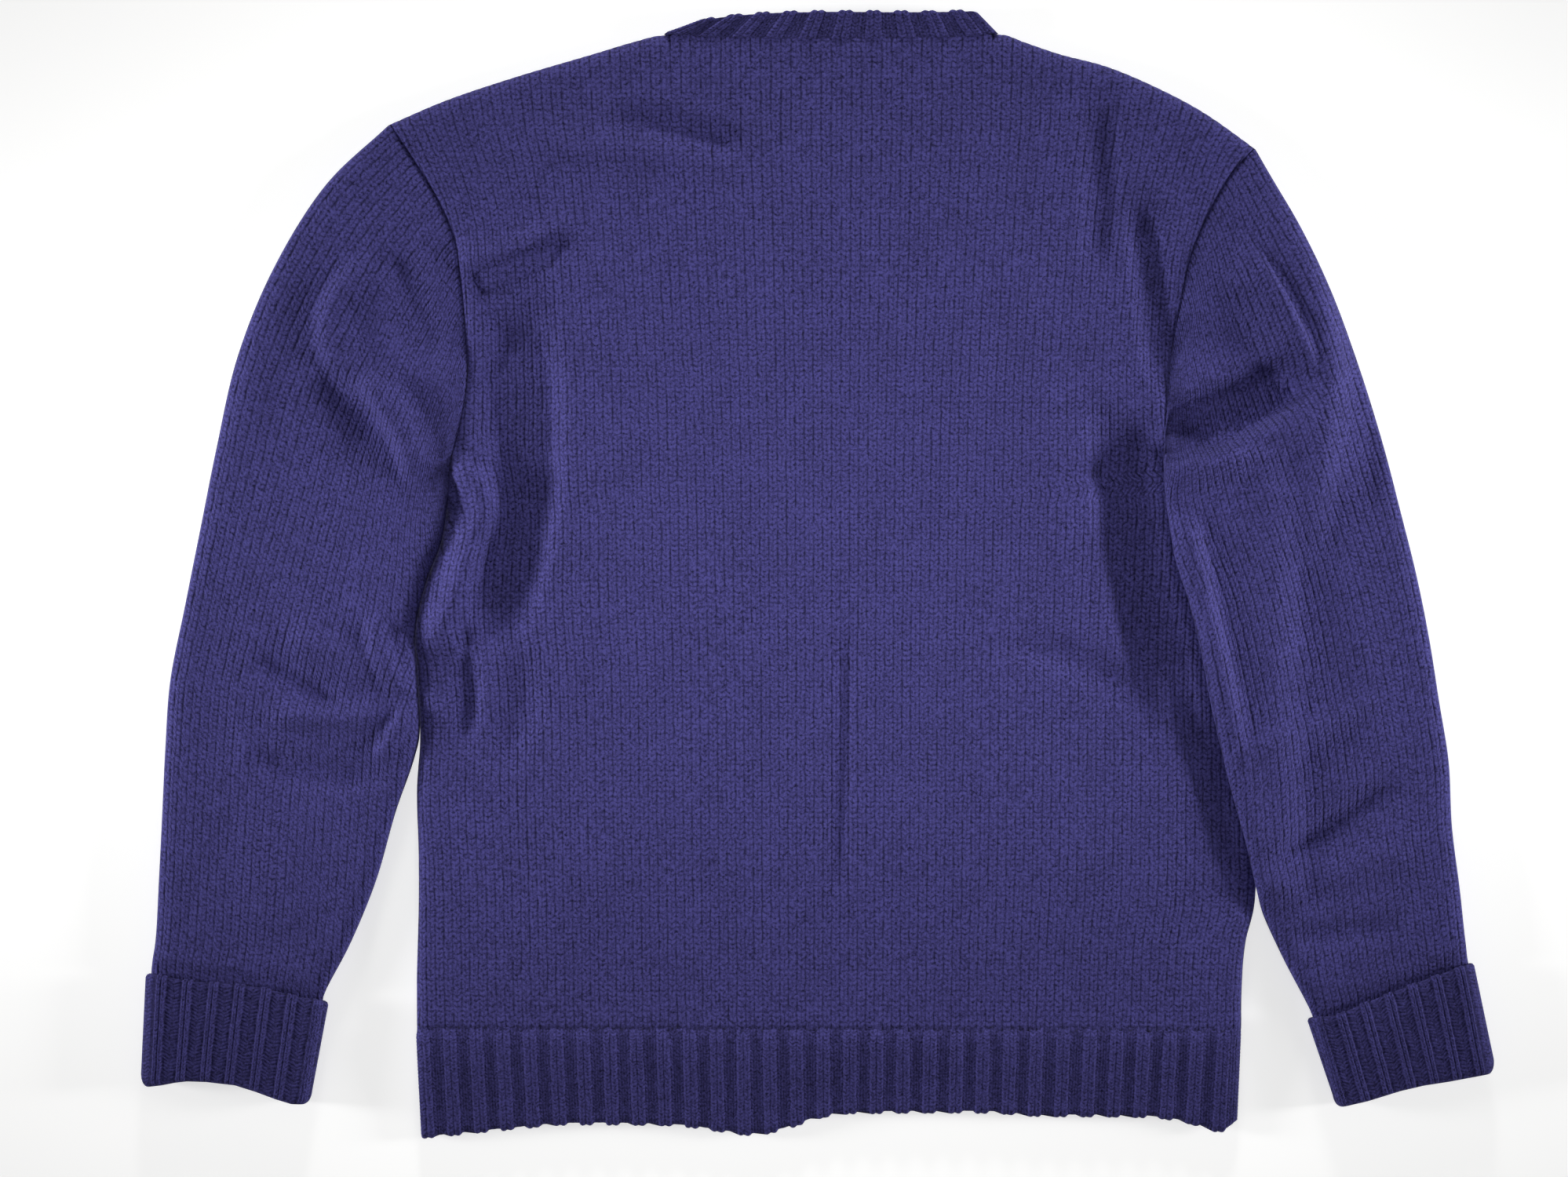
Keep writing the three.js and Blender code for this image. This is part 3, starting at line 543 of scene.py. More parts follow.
class Cloth:
    """Collects the grids and seams of one knitted piece and makes its mesh."""

    def __init__(self):
        self.points = []
        self.stitches = []
        self.faces = []
        self.count = 0

    def grid(self, points, stitches, closed=False):
        """Adds a grid of points with their stitch numbers, and fills it. Returns its numbers."""
        rows, columns = points.shape[:2]
        numbers = self.count + np.arange(rows * columns).reshape(rows, columns)
        self.count += rows * columns
        self.points.append(points.reshape(-1, 3))
        self.stitches.append(stitches.reshape(-1, 2))
        across = np.hstack([numbers, numbers[:, :1]]) if closed else numbers
        quads = [across[:-1, :-1], across[1:, :-1], across[1:, 1:], across[:-1, 1:]]
        self.faces.extend(np.stack(quads, axis=-1).reshape(-1, 4).tolist())
        return numbers

    def seam(self, first, second, closed=False):
        """Joins two lines of points of any two lengths with triangles."""
        if closed:
            first = np.append(first, first[0])
            second = np.append(second, second[0])
        places = np.vstack(self.points)
        share_a, share_b = (self._shares(places[line]) for line in (first, second))
        a = b = 0
        while a < len(first) - 1 or b < len(second) - 1:
            b_done = b == len(second) - 1
            if b_done or (a < len(first) - 1 and share_a[a + 1] <= share_b[b + 1]):
                self.faces.append([int(first[a]), int(second[b]), int(first[a + 1])])
                a += 1
            else:
                self.faces.append([int(first[a]), int(second[b]), int(second[b + 1])])
                b += 1

    @staticmethod
    def _shares(points):
        steps = np.linalg.norm(np.diff(points, axis=0), axis=1) + 1e-6
        return np.concatenate([[0.0], np.cumsum(steps)]) / steps.sum()

    def rim(self, outer, inner):
        """Joins two open grids all round their edges."""
        for side in GRID_SIDES:
            self.seam(outer[side], inner[side])

    def close(self, fine, coarse):
        """Joins the last ring of each closed grid to the first ring of the other."""
        self.seam(fine[-1], coarse[0], closed=True)
        self.seam(fine[0], coarse[-1], closed=True)

    def build(self, name, material):
        """Makes the object, with coincident points merged and faces turned outwards."""
        mesh = bpy.data.meshes.new(name)
        points = np.vstack(self.points) * MM + SHIFT
        mesh.from_pydata(points.tolist(), [], self.faces)
        corners = np.empty(len(mesh.loops), int)
        mesh.loops.foreach_get("vertex_index", corners)
        layer = mesh.uv_layers.new(name="Stitches")
        layer.uv.foreach_set("vector", np.vstack(self.stitches)[corners].astype(np.float32).ravel())
        bm = bmesh.new()
        bm.from_mesh(mesh)
        bmesh.ops.remove_doubles(bm, verts=bm.verts, dist=MERGE_WITHIN * MM)
        bmesh.ops.dissolve_degenerate(bm, edges=bm.edges, dist=NEEDLE_LENGTH * MM)
        bmesh.ops.recalc_face_normals(bm, faces=bm.faces)
        bm.to_mesh(mesh)
        bm.free()
        mesh.shade_smooth()
        mesh.materials.append(material)
        piece = bpy.data.objects.new(name, mesh)
        bpy.context.scene.collection.objects.link(piece)
        return piece


def with_height(plan, z):
    return np.concatenate([plan, z[..., None]], axis=-1)


def normals_of(points, facing):
    """Unit normals of a grid whose rows run down and whose columns run across."""
    across = np.gradient(points, axis=1)
    down = np.gradient(points, axis=0)
    normals = np.cross(down, across) * facing
    normals[..., 2] += 1e-4
    return normals / np.linalg.norm(normals, axis=-1, keepdims=True)


def raised(points, relief, facing=1):
    """The grid with its points moved out along its normals."""
    return points + normals_of(points, facing) * relief[..., None]


# The two legs of a stitch across its wale, between the furrows on both sides
WALE_PROFILE = (
    (0.0, 0.0), (0.17, 0.72), (0.33, 1.0), (0.5, 0.84), (0.67, 1.0), (0.83, 0.72), (1.0, 0.0),
)
# Two knitted wales and the two sunk ones between them, across one rib
RIB_PROFILE = (
    (0.0, 0.1), (0.06, 0.75), (0.135, 1.0), (0.21, 0.8), (0.27, 0.45), (0.33, 0.8), (0.405, 1.0),
    (0.48, 0.75), (0.54, 0.1), (0.65, 0.0), (0.77, 0.08), (0.9, 0.0), (1.0, 0.1),
)
RIB_WALES = ((0.0, 0.0), (0.27, 1.0), (0.54, 2.0), (0.77, 3.0), (1.0, 4.0))
CUFF_PROFILE = (
    (0.0, 0.0), (0.05, 0.8), (0.1, 1.0), (0.15, 0.75), (0.19, 0.3), (0.24, 0.75), (0.3, 1.0),
    (0.35, 0.8), (0.41, 0.05), (0.5, 0.0), (0.7, 0.12), (0.9, 0.0), (1.0, 0.0),
)
CUFF_WALES = ((0.0, 0.0), (0.19, 1.0), (0.4, 2.0), (1.0, 3.0))
# Height of the sunk bars and of the knitted stitches, as shares of a rib's height
BAR_RELIEF = 0.12
STITCH_RELIEF = 0.16


def wale_relief(u):
    return by_table(u % 1.0, WALE_PROFILE)


def rib_relief(ribs, v, profile):
    """Ribs with their stitches: rounded knitted ones and flat bars in the sunk wales."""
    across = by_table(ribs % 1.0, profile)
    knitted = smoothstep(across, 0.3, 0.7)
    stitch = np.abs(np.sin(np.pi * v))
    bars = np.abs(np.sin(np.pi * (v + 0.5)))
    return across + mixed(BAR_RELIEF * bars, STITCH_RELIEF * stitch, knitted)


def rib_stitches(ribs, v, wales):
    whole = np.floor(ribs)
    u = by_table(ribs - whole, wales) + whole * wales[-1][1]
    return pairs(u, v)


def rib_places(ribs, steps):
    return np.linspace(0.0, ribs, ribs * steps + 1)


# Body

def body_edges(t):
    """Both ends of a body row: t is 0 at the shoulder tips, 1 at the armpits, 2 at the hem."""
    ends = []
    for name in ("left", "right"):
        upper = armhole[name].at(np.clip(t, 0, 1) * armhole[name].length)
        lower = side_line[name].part(np.clip(t - 1, 0, 1))
        if name == "right":
            upper[..., 0] += UNDER_ARM * (1 - smoothstep(upper[..., 1], *UNDER_ARM_UPPER))
            lower[..., 0] += UNDER_ARM * smoothstep(lower[..., 1], *UNDER_ARM_LOWER)
        ends.append(np.where(t[..., None] <= 1, upper, lower))
    return ends


def hem_wave(x):
    """How far the uneven line between the plain cloth and the hem rib is off a straight one."""
    swell = 0.6 + 0.4 * np.sin(HEM_WAVE_SWELL * x + 1)
    return HEM_WAVE * (np.sin(HEM_WAVE_LONG * x) * swell + 0.5 * np.sin(HEM_WAVE_SHORT * x))


def body_plan(t, share):
    """Plan points on body rows, at shares of their widths."""
    left, right = body_edges(t)
    point = mixed(left, right, share[..., None])
    chord = mixed(SHOULDER_TIPS[0], SHOULDER_TIPS[1], share[..., None])
    crown = np.clip((left[..., 1] - ARMPIT_Y) / (SHOULDER_TIPS[0][1] - ARMPIT_Y), 0, 1)
    point[..., 1] += (top_edge.y_at(chord[..., 0]) - chord[..., 1]) * crown
    from_edge = (point[..., 0] - left[..., 0]) / ARMPIT_BULGE_FROM_EDGE
    height = (point[..., 1] - ARMPIT_Y) / ARMPIT_BULGE_HEIGHT
    point[..., 0] += ARMPIT_BULGE * from_edge * np.exp(1 - from_edge - height**2)
    point[..., 1] += hem_wave(point[..., 0]) * smoothstep(t, 1.96, 2.0)
    return point


def body_share(t, u):
    """Share of the row's width where wale u runs, and the wale itself, cut off at the edges."""
    left, right = body_edges(t)
    is_left = u < 0
    edge = np.where(is_left, left[..., 0], right[..., 0])
    edge_y = np.where(is_left, left[..., 1], right[..., 1])
    count = np.where(is_left, -by_table(edge_y, WALES_LEFT), by_table(edge_y, WALES_RIGHT))
    cut = np.where(is_left, np.maximum(u, count), np.minimum(u, count))
    width = right[..., 0] - left[..., 0]
    even = (edge - CENTRE_X - by_table(edge_y, BODY_PITCH) * count) / count**3
    share = np.full(cut.shape, 0.5)
    for _ in range(4):
        pitch = by_table(body_plan(t, share)[..., 1], BODY_PITCH)
        share = (CENTRE_X + pitch * cut + even * cut**3 - left[..., 0]) / width
    return np.clip(share, 0.0, 1.0), cut


def body_rows():
    seam, side = armhole["left"].length, side_line["left"].length
    lower = np.arange(BODY_FIRST_ROWS[-1] + BODY_ROW_STEP, seam, BODY_ROW_STEP)
    upper = np.concatenate([BODY_FIRST_ROWS, lower]) / seam
    return np.concatenate([upper, 1 + np.linspace(0, 1, int(side / BODY_ROW_STEP))])[:, None]


def shoulder_roll(x):
    """How far the upper edge rolls down: fully over the shoulders, not along the neckline."""
    inside = smoothstep(x, NECK_LEFT, NECK_LEFT + NECK_SOFT)
    return 1 - inside * (1 - smoothstep(x, NECK_RIGHT - NECK_SOFT, NECK_RIGHT))


def two_layers(point, top, fall, from_side, roll, inwards):
    """Outer and inner points of an upper layer that rolls down to the front at its sides."""
    low = WALL + SEAM_GAP
    outer = with_height(point, low + (top - low) * fall)
    inner = with_height(point, low + (top - WALL - low) * fall)
    inner[..., 0] += WALL * inwards * (1 - np.clip(from_side / roll, 0, 1))
    return outer, inner


def back_faces(lay, t, share):
    """Outer and inner points of the back, with rolled sides and shoulders."""
    t, share = np.broadcast_arrays(t, share)
    point = body_plan(t, share)
    start = body_plan(np.zeros(t.shape), share)
    left, right = body_edges(t)
    width = np.linalg.norm(right - left, axis=-1)
    side_distance = np.minimum(share, 1 - share) * width
    down = np.linalg.norm(point - start, axis=-1)
    on_left = share < 0.5
    side_roll = np.where(on_left, smoothstep(t, *SIDE_ROLL_LEFT), smoothstep(t, *SIDE_ROLL_RIGHT))
    top_roll = shoulder_roll(start[..., 0])
    fall = 1 - side_roll * (1 - round_rise(side_distance / BODY_ROLL))
    fall = fall * (1 - top_roll * (1 - round_rise(down / BODY_ROLL)))
    dip = SEAM_DIP * (1 - smoothstep(side_distance, 0, SEAM_DIP_WIDTH))
    dip = dip + STITCH_LINE * (1 - smoothstep(side_distance, 0, STITCH_LINE_WIDTH))
    dip = dip * (1 - side_roll)
    dip = dip * np.where(share > 0.5, smoothstep(point[..., 1], *RIGHT_DIP), 1.0)
    top = lay.body_top(point[..., 0], point[..., 1]) - dip
    inwards = np.where(on_left, side_roll, -side_roll)
    outer, inner = two_layers(point, top, fall, side_distance, BODY_ROLL, inwards)
    inner[..., 1] -= WALL * top_roll * (1 - np.clip(down / BODY_ROLL, 0, 1))
    covered = np.clip((point[..., 0] - cover_edge.x_at(point[..., 1])) / COVERED_SOFT, 0, 1)
    under = (point[..., 1] < COVERED_TO) & (point[..., 1] > COVERED_FROM)
    covered = np.where(under, covered, 0)
    seam_edge = smoothstep(side_distance, 0.0, EDGE_WALES_WIDTH)
    return outer, inner, (1 - covered) * mixed(EDGE_WALES, 1.0, seam_edge)


def back_cloth(lay):
    cloth = Cloth()
    t = body_rows()
    most = np.ceil(max(count for _, count in WALES_LEFT + WALES_RIGHT))
    wales = np.linspace(-most, most, int(2 * most * COLUMNS_PER_WALE) + 1)
    share, u = body_share(t, wales)
    outer, _, open_share = back_faces(lay, t, share)
    relief = lay.wale_relief * wale_relief(u) * open_share
    fine = cloth.grid(raised(outer, relief), pairs(u, outer[..., 1] / COURSE))
    _, inner, _ = back_faces(lay, every(t, LINING_ROWS), np.linspace(0, 1, LINING_COLUMNS))
    across = (inner[..., 0] - CENTRE_X) / HIDDEN_PITCH
    coarse = cloth.grid(inner, pairs(across, inner[..., 1] / COURSE))
    cloth.rim(fine, coarse)
    return cloth


def neck_share(x):
    inside = NECK_RIGHT - NECK_LEFT - 2 * NECK_TURN
    return np.clip((x - NECK_LEFT - NECK_TURN) / inside, 0, 1)


def front_scoop(x):
    return NECK_DROP * np.sin(np.pi * neck_share(x)) ** NECK_SCOOP_POWER


def flat_cloth(rows, wales, pitch):
    """A flat piece of cloth on the table from rows of plan points, with rounded edges."""
    cloth = Cloth()
    grids = []
    middle = rows.mean(axis=(0, 1))
    for z in (WALL, 0.0):
        inset = rows.copy()
        towards = middle - rows
        towards /= np.linalg.norm(towards, axis=-1, keepdims=True)
        for side in GRID_SIDES:
            inset[side] = rows[side] + towards[side] * EDGE_INSET
        points = with_height(inset, np.full(rows.shape[:2], z))
        grids.append(cloth.grid(points, pairs(wales, rows[..., 1] / pitch)))
    cloth.rim(*grids)
    return cloth


def front_cloth():
    t = body_rows()[::3]
    t[-1] = 2.0
    plan = body_plan(*np.broadcast_arrays(t, np.linspace(0, 1, FRONT_COLUMNS)))
    drop = front_scoop(plan[0, :, 0])
    plan[..., 1] -= drop * (1 - smoothstep(t, 0.0, FRONT_DROP_ENDS))
    return flat_cloth(plan, (plan[..., 0] - CENTRE_X) / HIDDEN_PITCH, COURSE)


# Hem

def hem_plan(down, share):
    top = mixed(LEFT_HIP, RIGHT_HIP, share[..., None]) - np.array([0.0, SEAM_CLEARANCE])
    top[..., 1] += hem_wave(top[..., 0])
    end_x = mixed(HEM_EDGE[0][0], HEM_EDGE[-1][0], share)
    return mixed(top, pairs(end_x, hem_edge.y_at(end_x)), down[..., None])


def hem_faces(lay, down, share):
    down, share = np.broadcast_arrays(down, share)
    point = hem_plan(down, share)
    width = RIGHT_HIP[0] - LEFT_HIP[0]
    distance = np.minimum(share, 1 - share) * width
    start = lay.body_top(point[..., 0], np.full(point.shape[:2], HEM_TOP_Y))
    top = mixed(start, BODY_LEAST + HEM_END_LOFT, smoothstep(down, 0.1, 1.0))
    fall = round_rise(distance / HEM_ROLL)
    fall = fall * mixed(HEM_END_HEIGHT, 1.0, round_rise((1 - down) * HEM_DEPTH / HEM_END_ROLL))
    return two_layers(point, top, fall, distance, HEM_ROLL, np.where(share < 0.5, 1, -1))


def hem_back_cloth(lay):
    cloth = Cloth()
    ribs = rib_places(HEM_RIBS, HEM_RIB_COLUMNS)
    down = np.concatenate([np.linspace(0, 0.94, 80), [0.955, 0.97, 0.98, 0.99, 1.0]])[:, None]
    outer, _ = hem_faces(lay, down, ribs / HEM_RIBS)
    v = outer[..., 1] / RIB_COURSE
    start = mixed(0.15, 1.0, smoothstep(down, 0.0, 0.1))
    relief = lay.rib_relief * rib_relief(ribs, v, RIB_PROFILE) * start
    outer[..., 1] -= HEM_SCALLOP * smoothstep(down, 0.9, 1.0) * by_table(ribs % 1.0, RIB_PROFILE)
    fine = cloth.grid(raised(outer, relief), rib_stitches(ribs, v, RIB_WALES))
    few = np.linspace(0, 1, COARSE_COLUMNS)
    _, inner = hem_faces(lay, np.linspace(0, 1, 7)[:, None], few)
    inner_v = inner[..., 1] / RIB_COURSE
    coarse = cloth.grid(inner, rib_stitches(few * HEM_RIBS, inner_v, RIB_WALES))
    cloth.rim(fine, coarse)
    return cloth


def hem_front_cloth():
    share = np.linspace(0, 1, 4 * HEM_RIBS + 1)
    down = np.linspace(0, 1, 9)[:, None]
    plan = hem_plan(*np.broadcast_arrays(down, share))
    plan[..., 1] += HEM_FRONT_SHORTER * down
    return flat_cloth(plan, share * HEM_RIBS * RIB_WALES[-1][1], RIB_COURSE)


# Flattened tubes

def tube_face(plan_at, share, inset, length, low, high, radius, upper):
    """One face of a flattened tube or ring, rounded towards its two sides.

    plan_at gives plan points for shares of the length across, low and high their heights.
    """
    distance = mixed(inset, length - inset, share)
    plan = plan_at(distance / length)
    near = np.minimum(distance, length - distance)
    bottom, top = low(plan) + inset, high(plan) - inset
    middle = (bottom + top) / 2
    fullness = round_rise((near - inset) / np.maximum(radius - inset, 1.0))
    return with_height(plan, middle + np.where(upper, top - middle, bottom - middle) * fullness)


def on_table(plan):
    return np.zeros(plan.shape[:-1])


class Cuff:
    """Plan of a turned-back cuff: distance from its free edge, share from its outer side."""

    def __init__(self, name):
        corners = CUFF_CORNERS[name]
        self.top, self.end = (np.array(corners[key], float) for key in ("top", "end"))
        self.length = np.linalg.norm(self.top.mean(0) - self.end.mean(0))
        self.width = np.linalg.norm(self.top[1] - self.top[0])
        self.across = (self.top[1] - self.top[0]) / self.width
        self.facing = 1 if name == "left" else -1
        self.bows = CUFF_BOWS[name]

    def at(self, distance, share):
        down = np.asarray(distance / self.length)[..., None]
        outer, inner = (mixed(self.top[k], self.end[k], down) for k in (0, 1))
        point = mixed(outer, inner, np.asarray(share)[..., None])
        top, end = (by_table(share, self.bows[key]) for key in ("top", "end"))
        from_side = np.minimum(share, 1 - np.asarray(share)) * self.width
        corner = CUFF_CORNER * (1 - round_rise(from_side / CUFF_CORNER))
        top = top - corner * CUFF_TOP_CORNER
        point[..., 1] += mixed(top, end + corner, np.clip(down[..., 0], 0, 1))
        return point

    def face(self, distance, inset, share, upper):
        """One line across the cuff, which is a little lower at its free edge."""
        height = CUFF_HIGH - CUFF_RIM * (1 - round_rise(distance / CUFF_RIM_WIDTH))

        def plan_at(s):
            return self.at(distance, s)

        def high(plan):
            return np.full(plan.shape[:-1], height)
        radius = CUFF_HIGH / 2
        return tube_face(plan_at, share, inset, self.width, on_table, high, radius, upper)

    def loops(self, rows, share, upper):
        """Lines across the cuff, for rows of distance and inset."""
        return np.stack([self.face(distance, inset, share, upper) for distance, inset in rows])

    def below_edge(self, plan):
        """How far a plan point is below the line of the free edge."""
        offset = plan - self.top[0]
        crossed = self.across[0] * offset[..., 1] - self.across[1] * offset[..., 0]
        share = np.clip(offset @ self.across / self.width, 0, 1)
        return by_table(share, self.bows["top"]) - self.facing * crossed


CUFFS = {name: Cuff(name) for name in CUFF_CORNERS}


class Sleeve:
    """One sleeve: a flattened tube from its armhole seam into its cuff."""

    def __init__(self, name, lay):
        self.name = name
        self.lay = lay
        self.cuff = CUFFS[name]
        self.facing = self.cuff.facing
        self.seam = armhole[name]
        sections = np.array(SLEEVE_SECTIONS[name], float)
        outer, inner = [*sections[:, :2]], [*sections[:, 2:]]
        share = (WALL + LAYER_GAP) / self.cuff.width
        for distance in (-3.0, 3.0, SLEEVE_INTO_CUFF):
            outer.append(self.cuff.at(distance, share))
            inner.append(self.cuff.at(distance, 1 - share))
        self.outer, self.inner = Line(outer), Line(inner)
        self.ends = self.seam.at(0.0), self.seam.at(self.seam.length)

    def inner_edge(self, along):
        inner = self.inner.part(along)
        if self.name == "left":
            beside = side_line["left"].x_at(inner[..., 1]) + SIDE_CONTACT
            touches = smoothstep(inner[..., 1], *LEFT_LEAVES) * (inner[..., 1] < ARMPIT_Y)
            inner[..., 0] = mixed(inner[..., 0], beside, touches)
        return inner

    def plan(self, along, share):
        point = mixed(self.outer.part(along), self.inner_edge(along), share[..., None])
        bow = self.seam.at(share * self.seam.length) - mixed(*self.ends, share[..., None])
        point += bow * (1 - smoothstep(along, 0, BEND_FADES_AT))[..., None]
        point[..., 0] -= self.facing * SEAM_CLEARANCE
        return point

    def lengths(self, along):
        """Width of each row, from the outer to the inner edge."""
        outer, inner = self.outer.part(along), self.inner_edge(along)
        widths = np.linalg.norm(outer - inner, axis=-1)
        return mixed(self.seam.length, widths, smoothstep(along, 0.0, SLEEVE_SEAM_WIDTH))

    def low(self, plan):
        step = (WALL + LAYER_GAP) * smoothstep(self.cuff.below_edge(plan), *RISES_TO_CUFF)
        return np.maximum(self.lay.under_sleeve(plan[..., 0], plan[..., 1]), step)

    def high(self, plan, along):
        x, y = plan[..., 0], plan[..., 1]
        low = self.low(plan)
        at_seam = self.lay.body_top(self.seam.x_at(y), y) - SEAM_DIP
        folds = self.lay.folds * sum_of(sleeve_folds[self.name], x, y)
        free = low + self.lay.sleeve_loft + folds - self.lay.under_sleeve(x, y) * REST_FOLLOWS
        own = mixed(at_seam, free, smoothstep(along, 0, SLEEVE_HEAD))
        own = own - STITCH_LINE * (1 - smoothstep(along, 0, STITCH_LINE_SHARE))
        in_cuff = CUFF_HIGH - CUFF_RIM - WALL - LAYER_GAP
        own = mixed(own, in_cuff, smoothstep(self.cuff.below_edge(plan), *THINS_TO_CUFF))
        return np.maximum(low + SLEEVE_LEAST, own)

    def face(self, along, share, inset, upper):
        along, share = np.broadcast_arrays(along, share)
        grown = smoothstep(along, 0.0, SEAM_ROLL_ENDS)
        radius = mixed(SLEEVE_ROLL * SEAM_ROLL_SHARE, SLEEVE_ROLL, grown)

        def plan_at(s):
            return self.plan(along, s)

        def high(plan):
            return self.high(plan, along)
        return tube_face(plan_at, share, inset, self.lengths(along), self.low, high, radius, upper)

    def rows(self):
        """Shares of the way along, evenly spaced on the outer edge, closer at the seam."""
        fine = np.linspace(0, 1, 600)
        outer = self.outer.part(fine)
        distance = np.concatenate([[0], np.cumsum(np.linalg.norm(np.diff(outer, axis=0), axis=1))])
        even = np.arange(SLEEVE_EVEN_FROM, distance[-1], SLEEVE_ROW_STEP)
        wanted = np.concatenate([SLEEVE_FIRST_ROWS, even])
        return np.interp(np.append(wanted, distance[-1]), distance, fine)[:, None]

    def wales(self, along):
        """Columns on knitted wales from the outer edge, cut off at the inner one."""
        pitch = by_table(along, SLEEVE_PITCH)
        count = self.lengths(along) / pitch
        steps = int(np.ceil(count.max() * COLUMNS_PER_WALE)) + 1
        u = np.minimum(np.arange(steps) / COLUMNS_PER_WALE, count)
        return u, u / count, count


def lengths_along(points):
    steps = np.linalg.norm(np.diff(points, axis=0), axis=-1)
    return np.vstack([np.zeros((1, points.shape[1])), np.cumsum(steps, axis=0)])


def sleeve_cloth(name, lay):
    shape = Sleeve(name, lay)
    cloth = Cloth()
    along = shape.rows()
    u, share, count = shape.wales(along)
    top = shape.face(along, share, 0.0, True)
    v = -lengths_along(top) / COURSE
    edges = smoothstep(np.minimum(share, 1 - share) * count, 0.0, 0.4)
    hidden = 1 - smoothstep(shape.cuff.below_edge(top[..., :2]), -3, 0)
    relief = lay.wale_relief * wale_relief(u) * edges * hidden
    upper = cloth.grid(raised(top, relief, shape.facing), pairs(u, v))
    down_share = np.linspace(1, 0, 9)
    bottom = shape.face(along, down_share, 0.0, False)
    bottom_v = mixed(v[:, :1], v[:, -1:], down_share)
    lower = cloth.grid(bottom, pairs(-down_share * count, bottom_v))
    coarse = every(along, LINING_ROWS + 1)
    across = np.linspace(0, 1, 13)
    inside = np.concatenate([
        shape.face(coarse, across, WALL, True),
        shape.face(coarse, across[::-1], WALL, False)[:, 1:-1],
    ], axis=1)
    lining = pairs(inside[..., 0] / LINING_PITCH, inside[..., 1] / COURSE)
    hollow = cloth.grid(inside, lining, closed=True)
    for end in (0, -1):
        ring = np.concatenate([upper[end], lower[end][1:-1]])
        cloth.seam(ring, hollow[end], closed=True)
    return cloth


def cuff_cloth(name, lay):
    cuff = CUFFS[name]
    cloth = Cloth()
    inner_layer = WALL + LAYER_GAP
    full = inner_layer + WALL
    fold = cuff.length - full / 2
    turn = np.linspace(0, np.pi, 9)[1:]
    face_rows = np.linspace(0, fold, CUFF_ROWS)
    distances = np.concatenate([[0.0], face_rows[1:], fold + np.sin(turn) * full / 2])
    turn_insets = (1 - np.cos(turn)) * full / 2
    insets = np.concatenate([[CUFF_EDGE], np.zeros(len(face_rows) - 1), turn_insets])
    side = np.array([0.1, 0.2, 0.28, 0.35, 0.41, 0.46, 0.49, 0.5])
    ribs = np.concatenate([-side[::-1], rib_places(CUFF_RIBS, CUFF_RIB_COLUMNS), CUFF_RIBS + side])
    share = (ribs + 0.5) / (CUFF_RIBS + 1)
    share = np.concatenate([share, np.linspace(1, 0, 11)[1:-1]])
    upper = np.arange(len(share)) < len(ribs)

    outer = cuff.loops(zip(distances, insets), share, upper)
    all_ribs = np.append(ribs, share[len(ribs):] * (CUFF_RIBS + 1) - 0.5)
    v = -lengths_along(outer) / RIB_COURSE
    on_face = smoothstep(fold + 3 - distances, 0, 3) * (insets < full * 0.7)
    shown = np.where(upper, smoothstep(np.minimum(share, 1 - share), 0.02, 0.06), 0.0)
    relief = lay.rib_relief * rib_relief(all_ribs, v, CUFF_PROFILE) * shown * on_face[:, None]
    stitches = rib_stitches(all_ribs % CUFF_RIBS, v, CUFF_WALES)
    fine = cloth.grid(raised(outer, relief, cuff.facing), stitches, closed=True)

    inner_top = SLEEVE_INTO_CUFF + SEAM_GAP
    few = np.concatenate([np.linspace(0, 1, 15), np.linspace(1, 0, 9)[1:-1]])
    few_upper = np.arange(len(few)) < 15
    # The hidden faces: up the inner layer's inside, down its outside, up the outer layer's inside
    hidden_rows = (
        (fold, full), (fold / 2, full), (inner_top, full),
        (inner_top, inner_layer), (fold / 2, inner_layer), (fold - 0.2, inner_layer),
        (fold - 0.2, WALL), (fold / 2, WALL), (1.0, WALL), (0.0, WALL - CUFF_EDGE),
    )
    hidden = cuff.loops(hidden_rows, few, few_upper)
    hidden_v = -lengths_along(hidden) / RIB_COURSE
    hidden_stitches = rib_stitches(few * CUFF_RIBS, hidden_v, CUFF_WALES)
    coarse = cloth.grid(hidden, hidden_stitches, closed=True)
    cloth.close(fine, coarse)
    return cloth


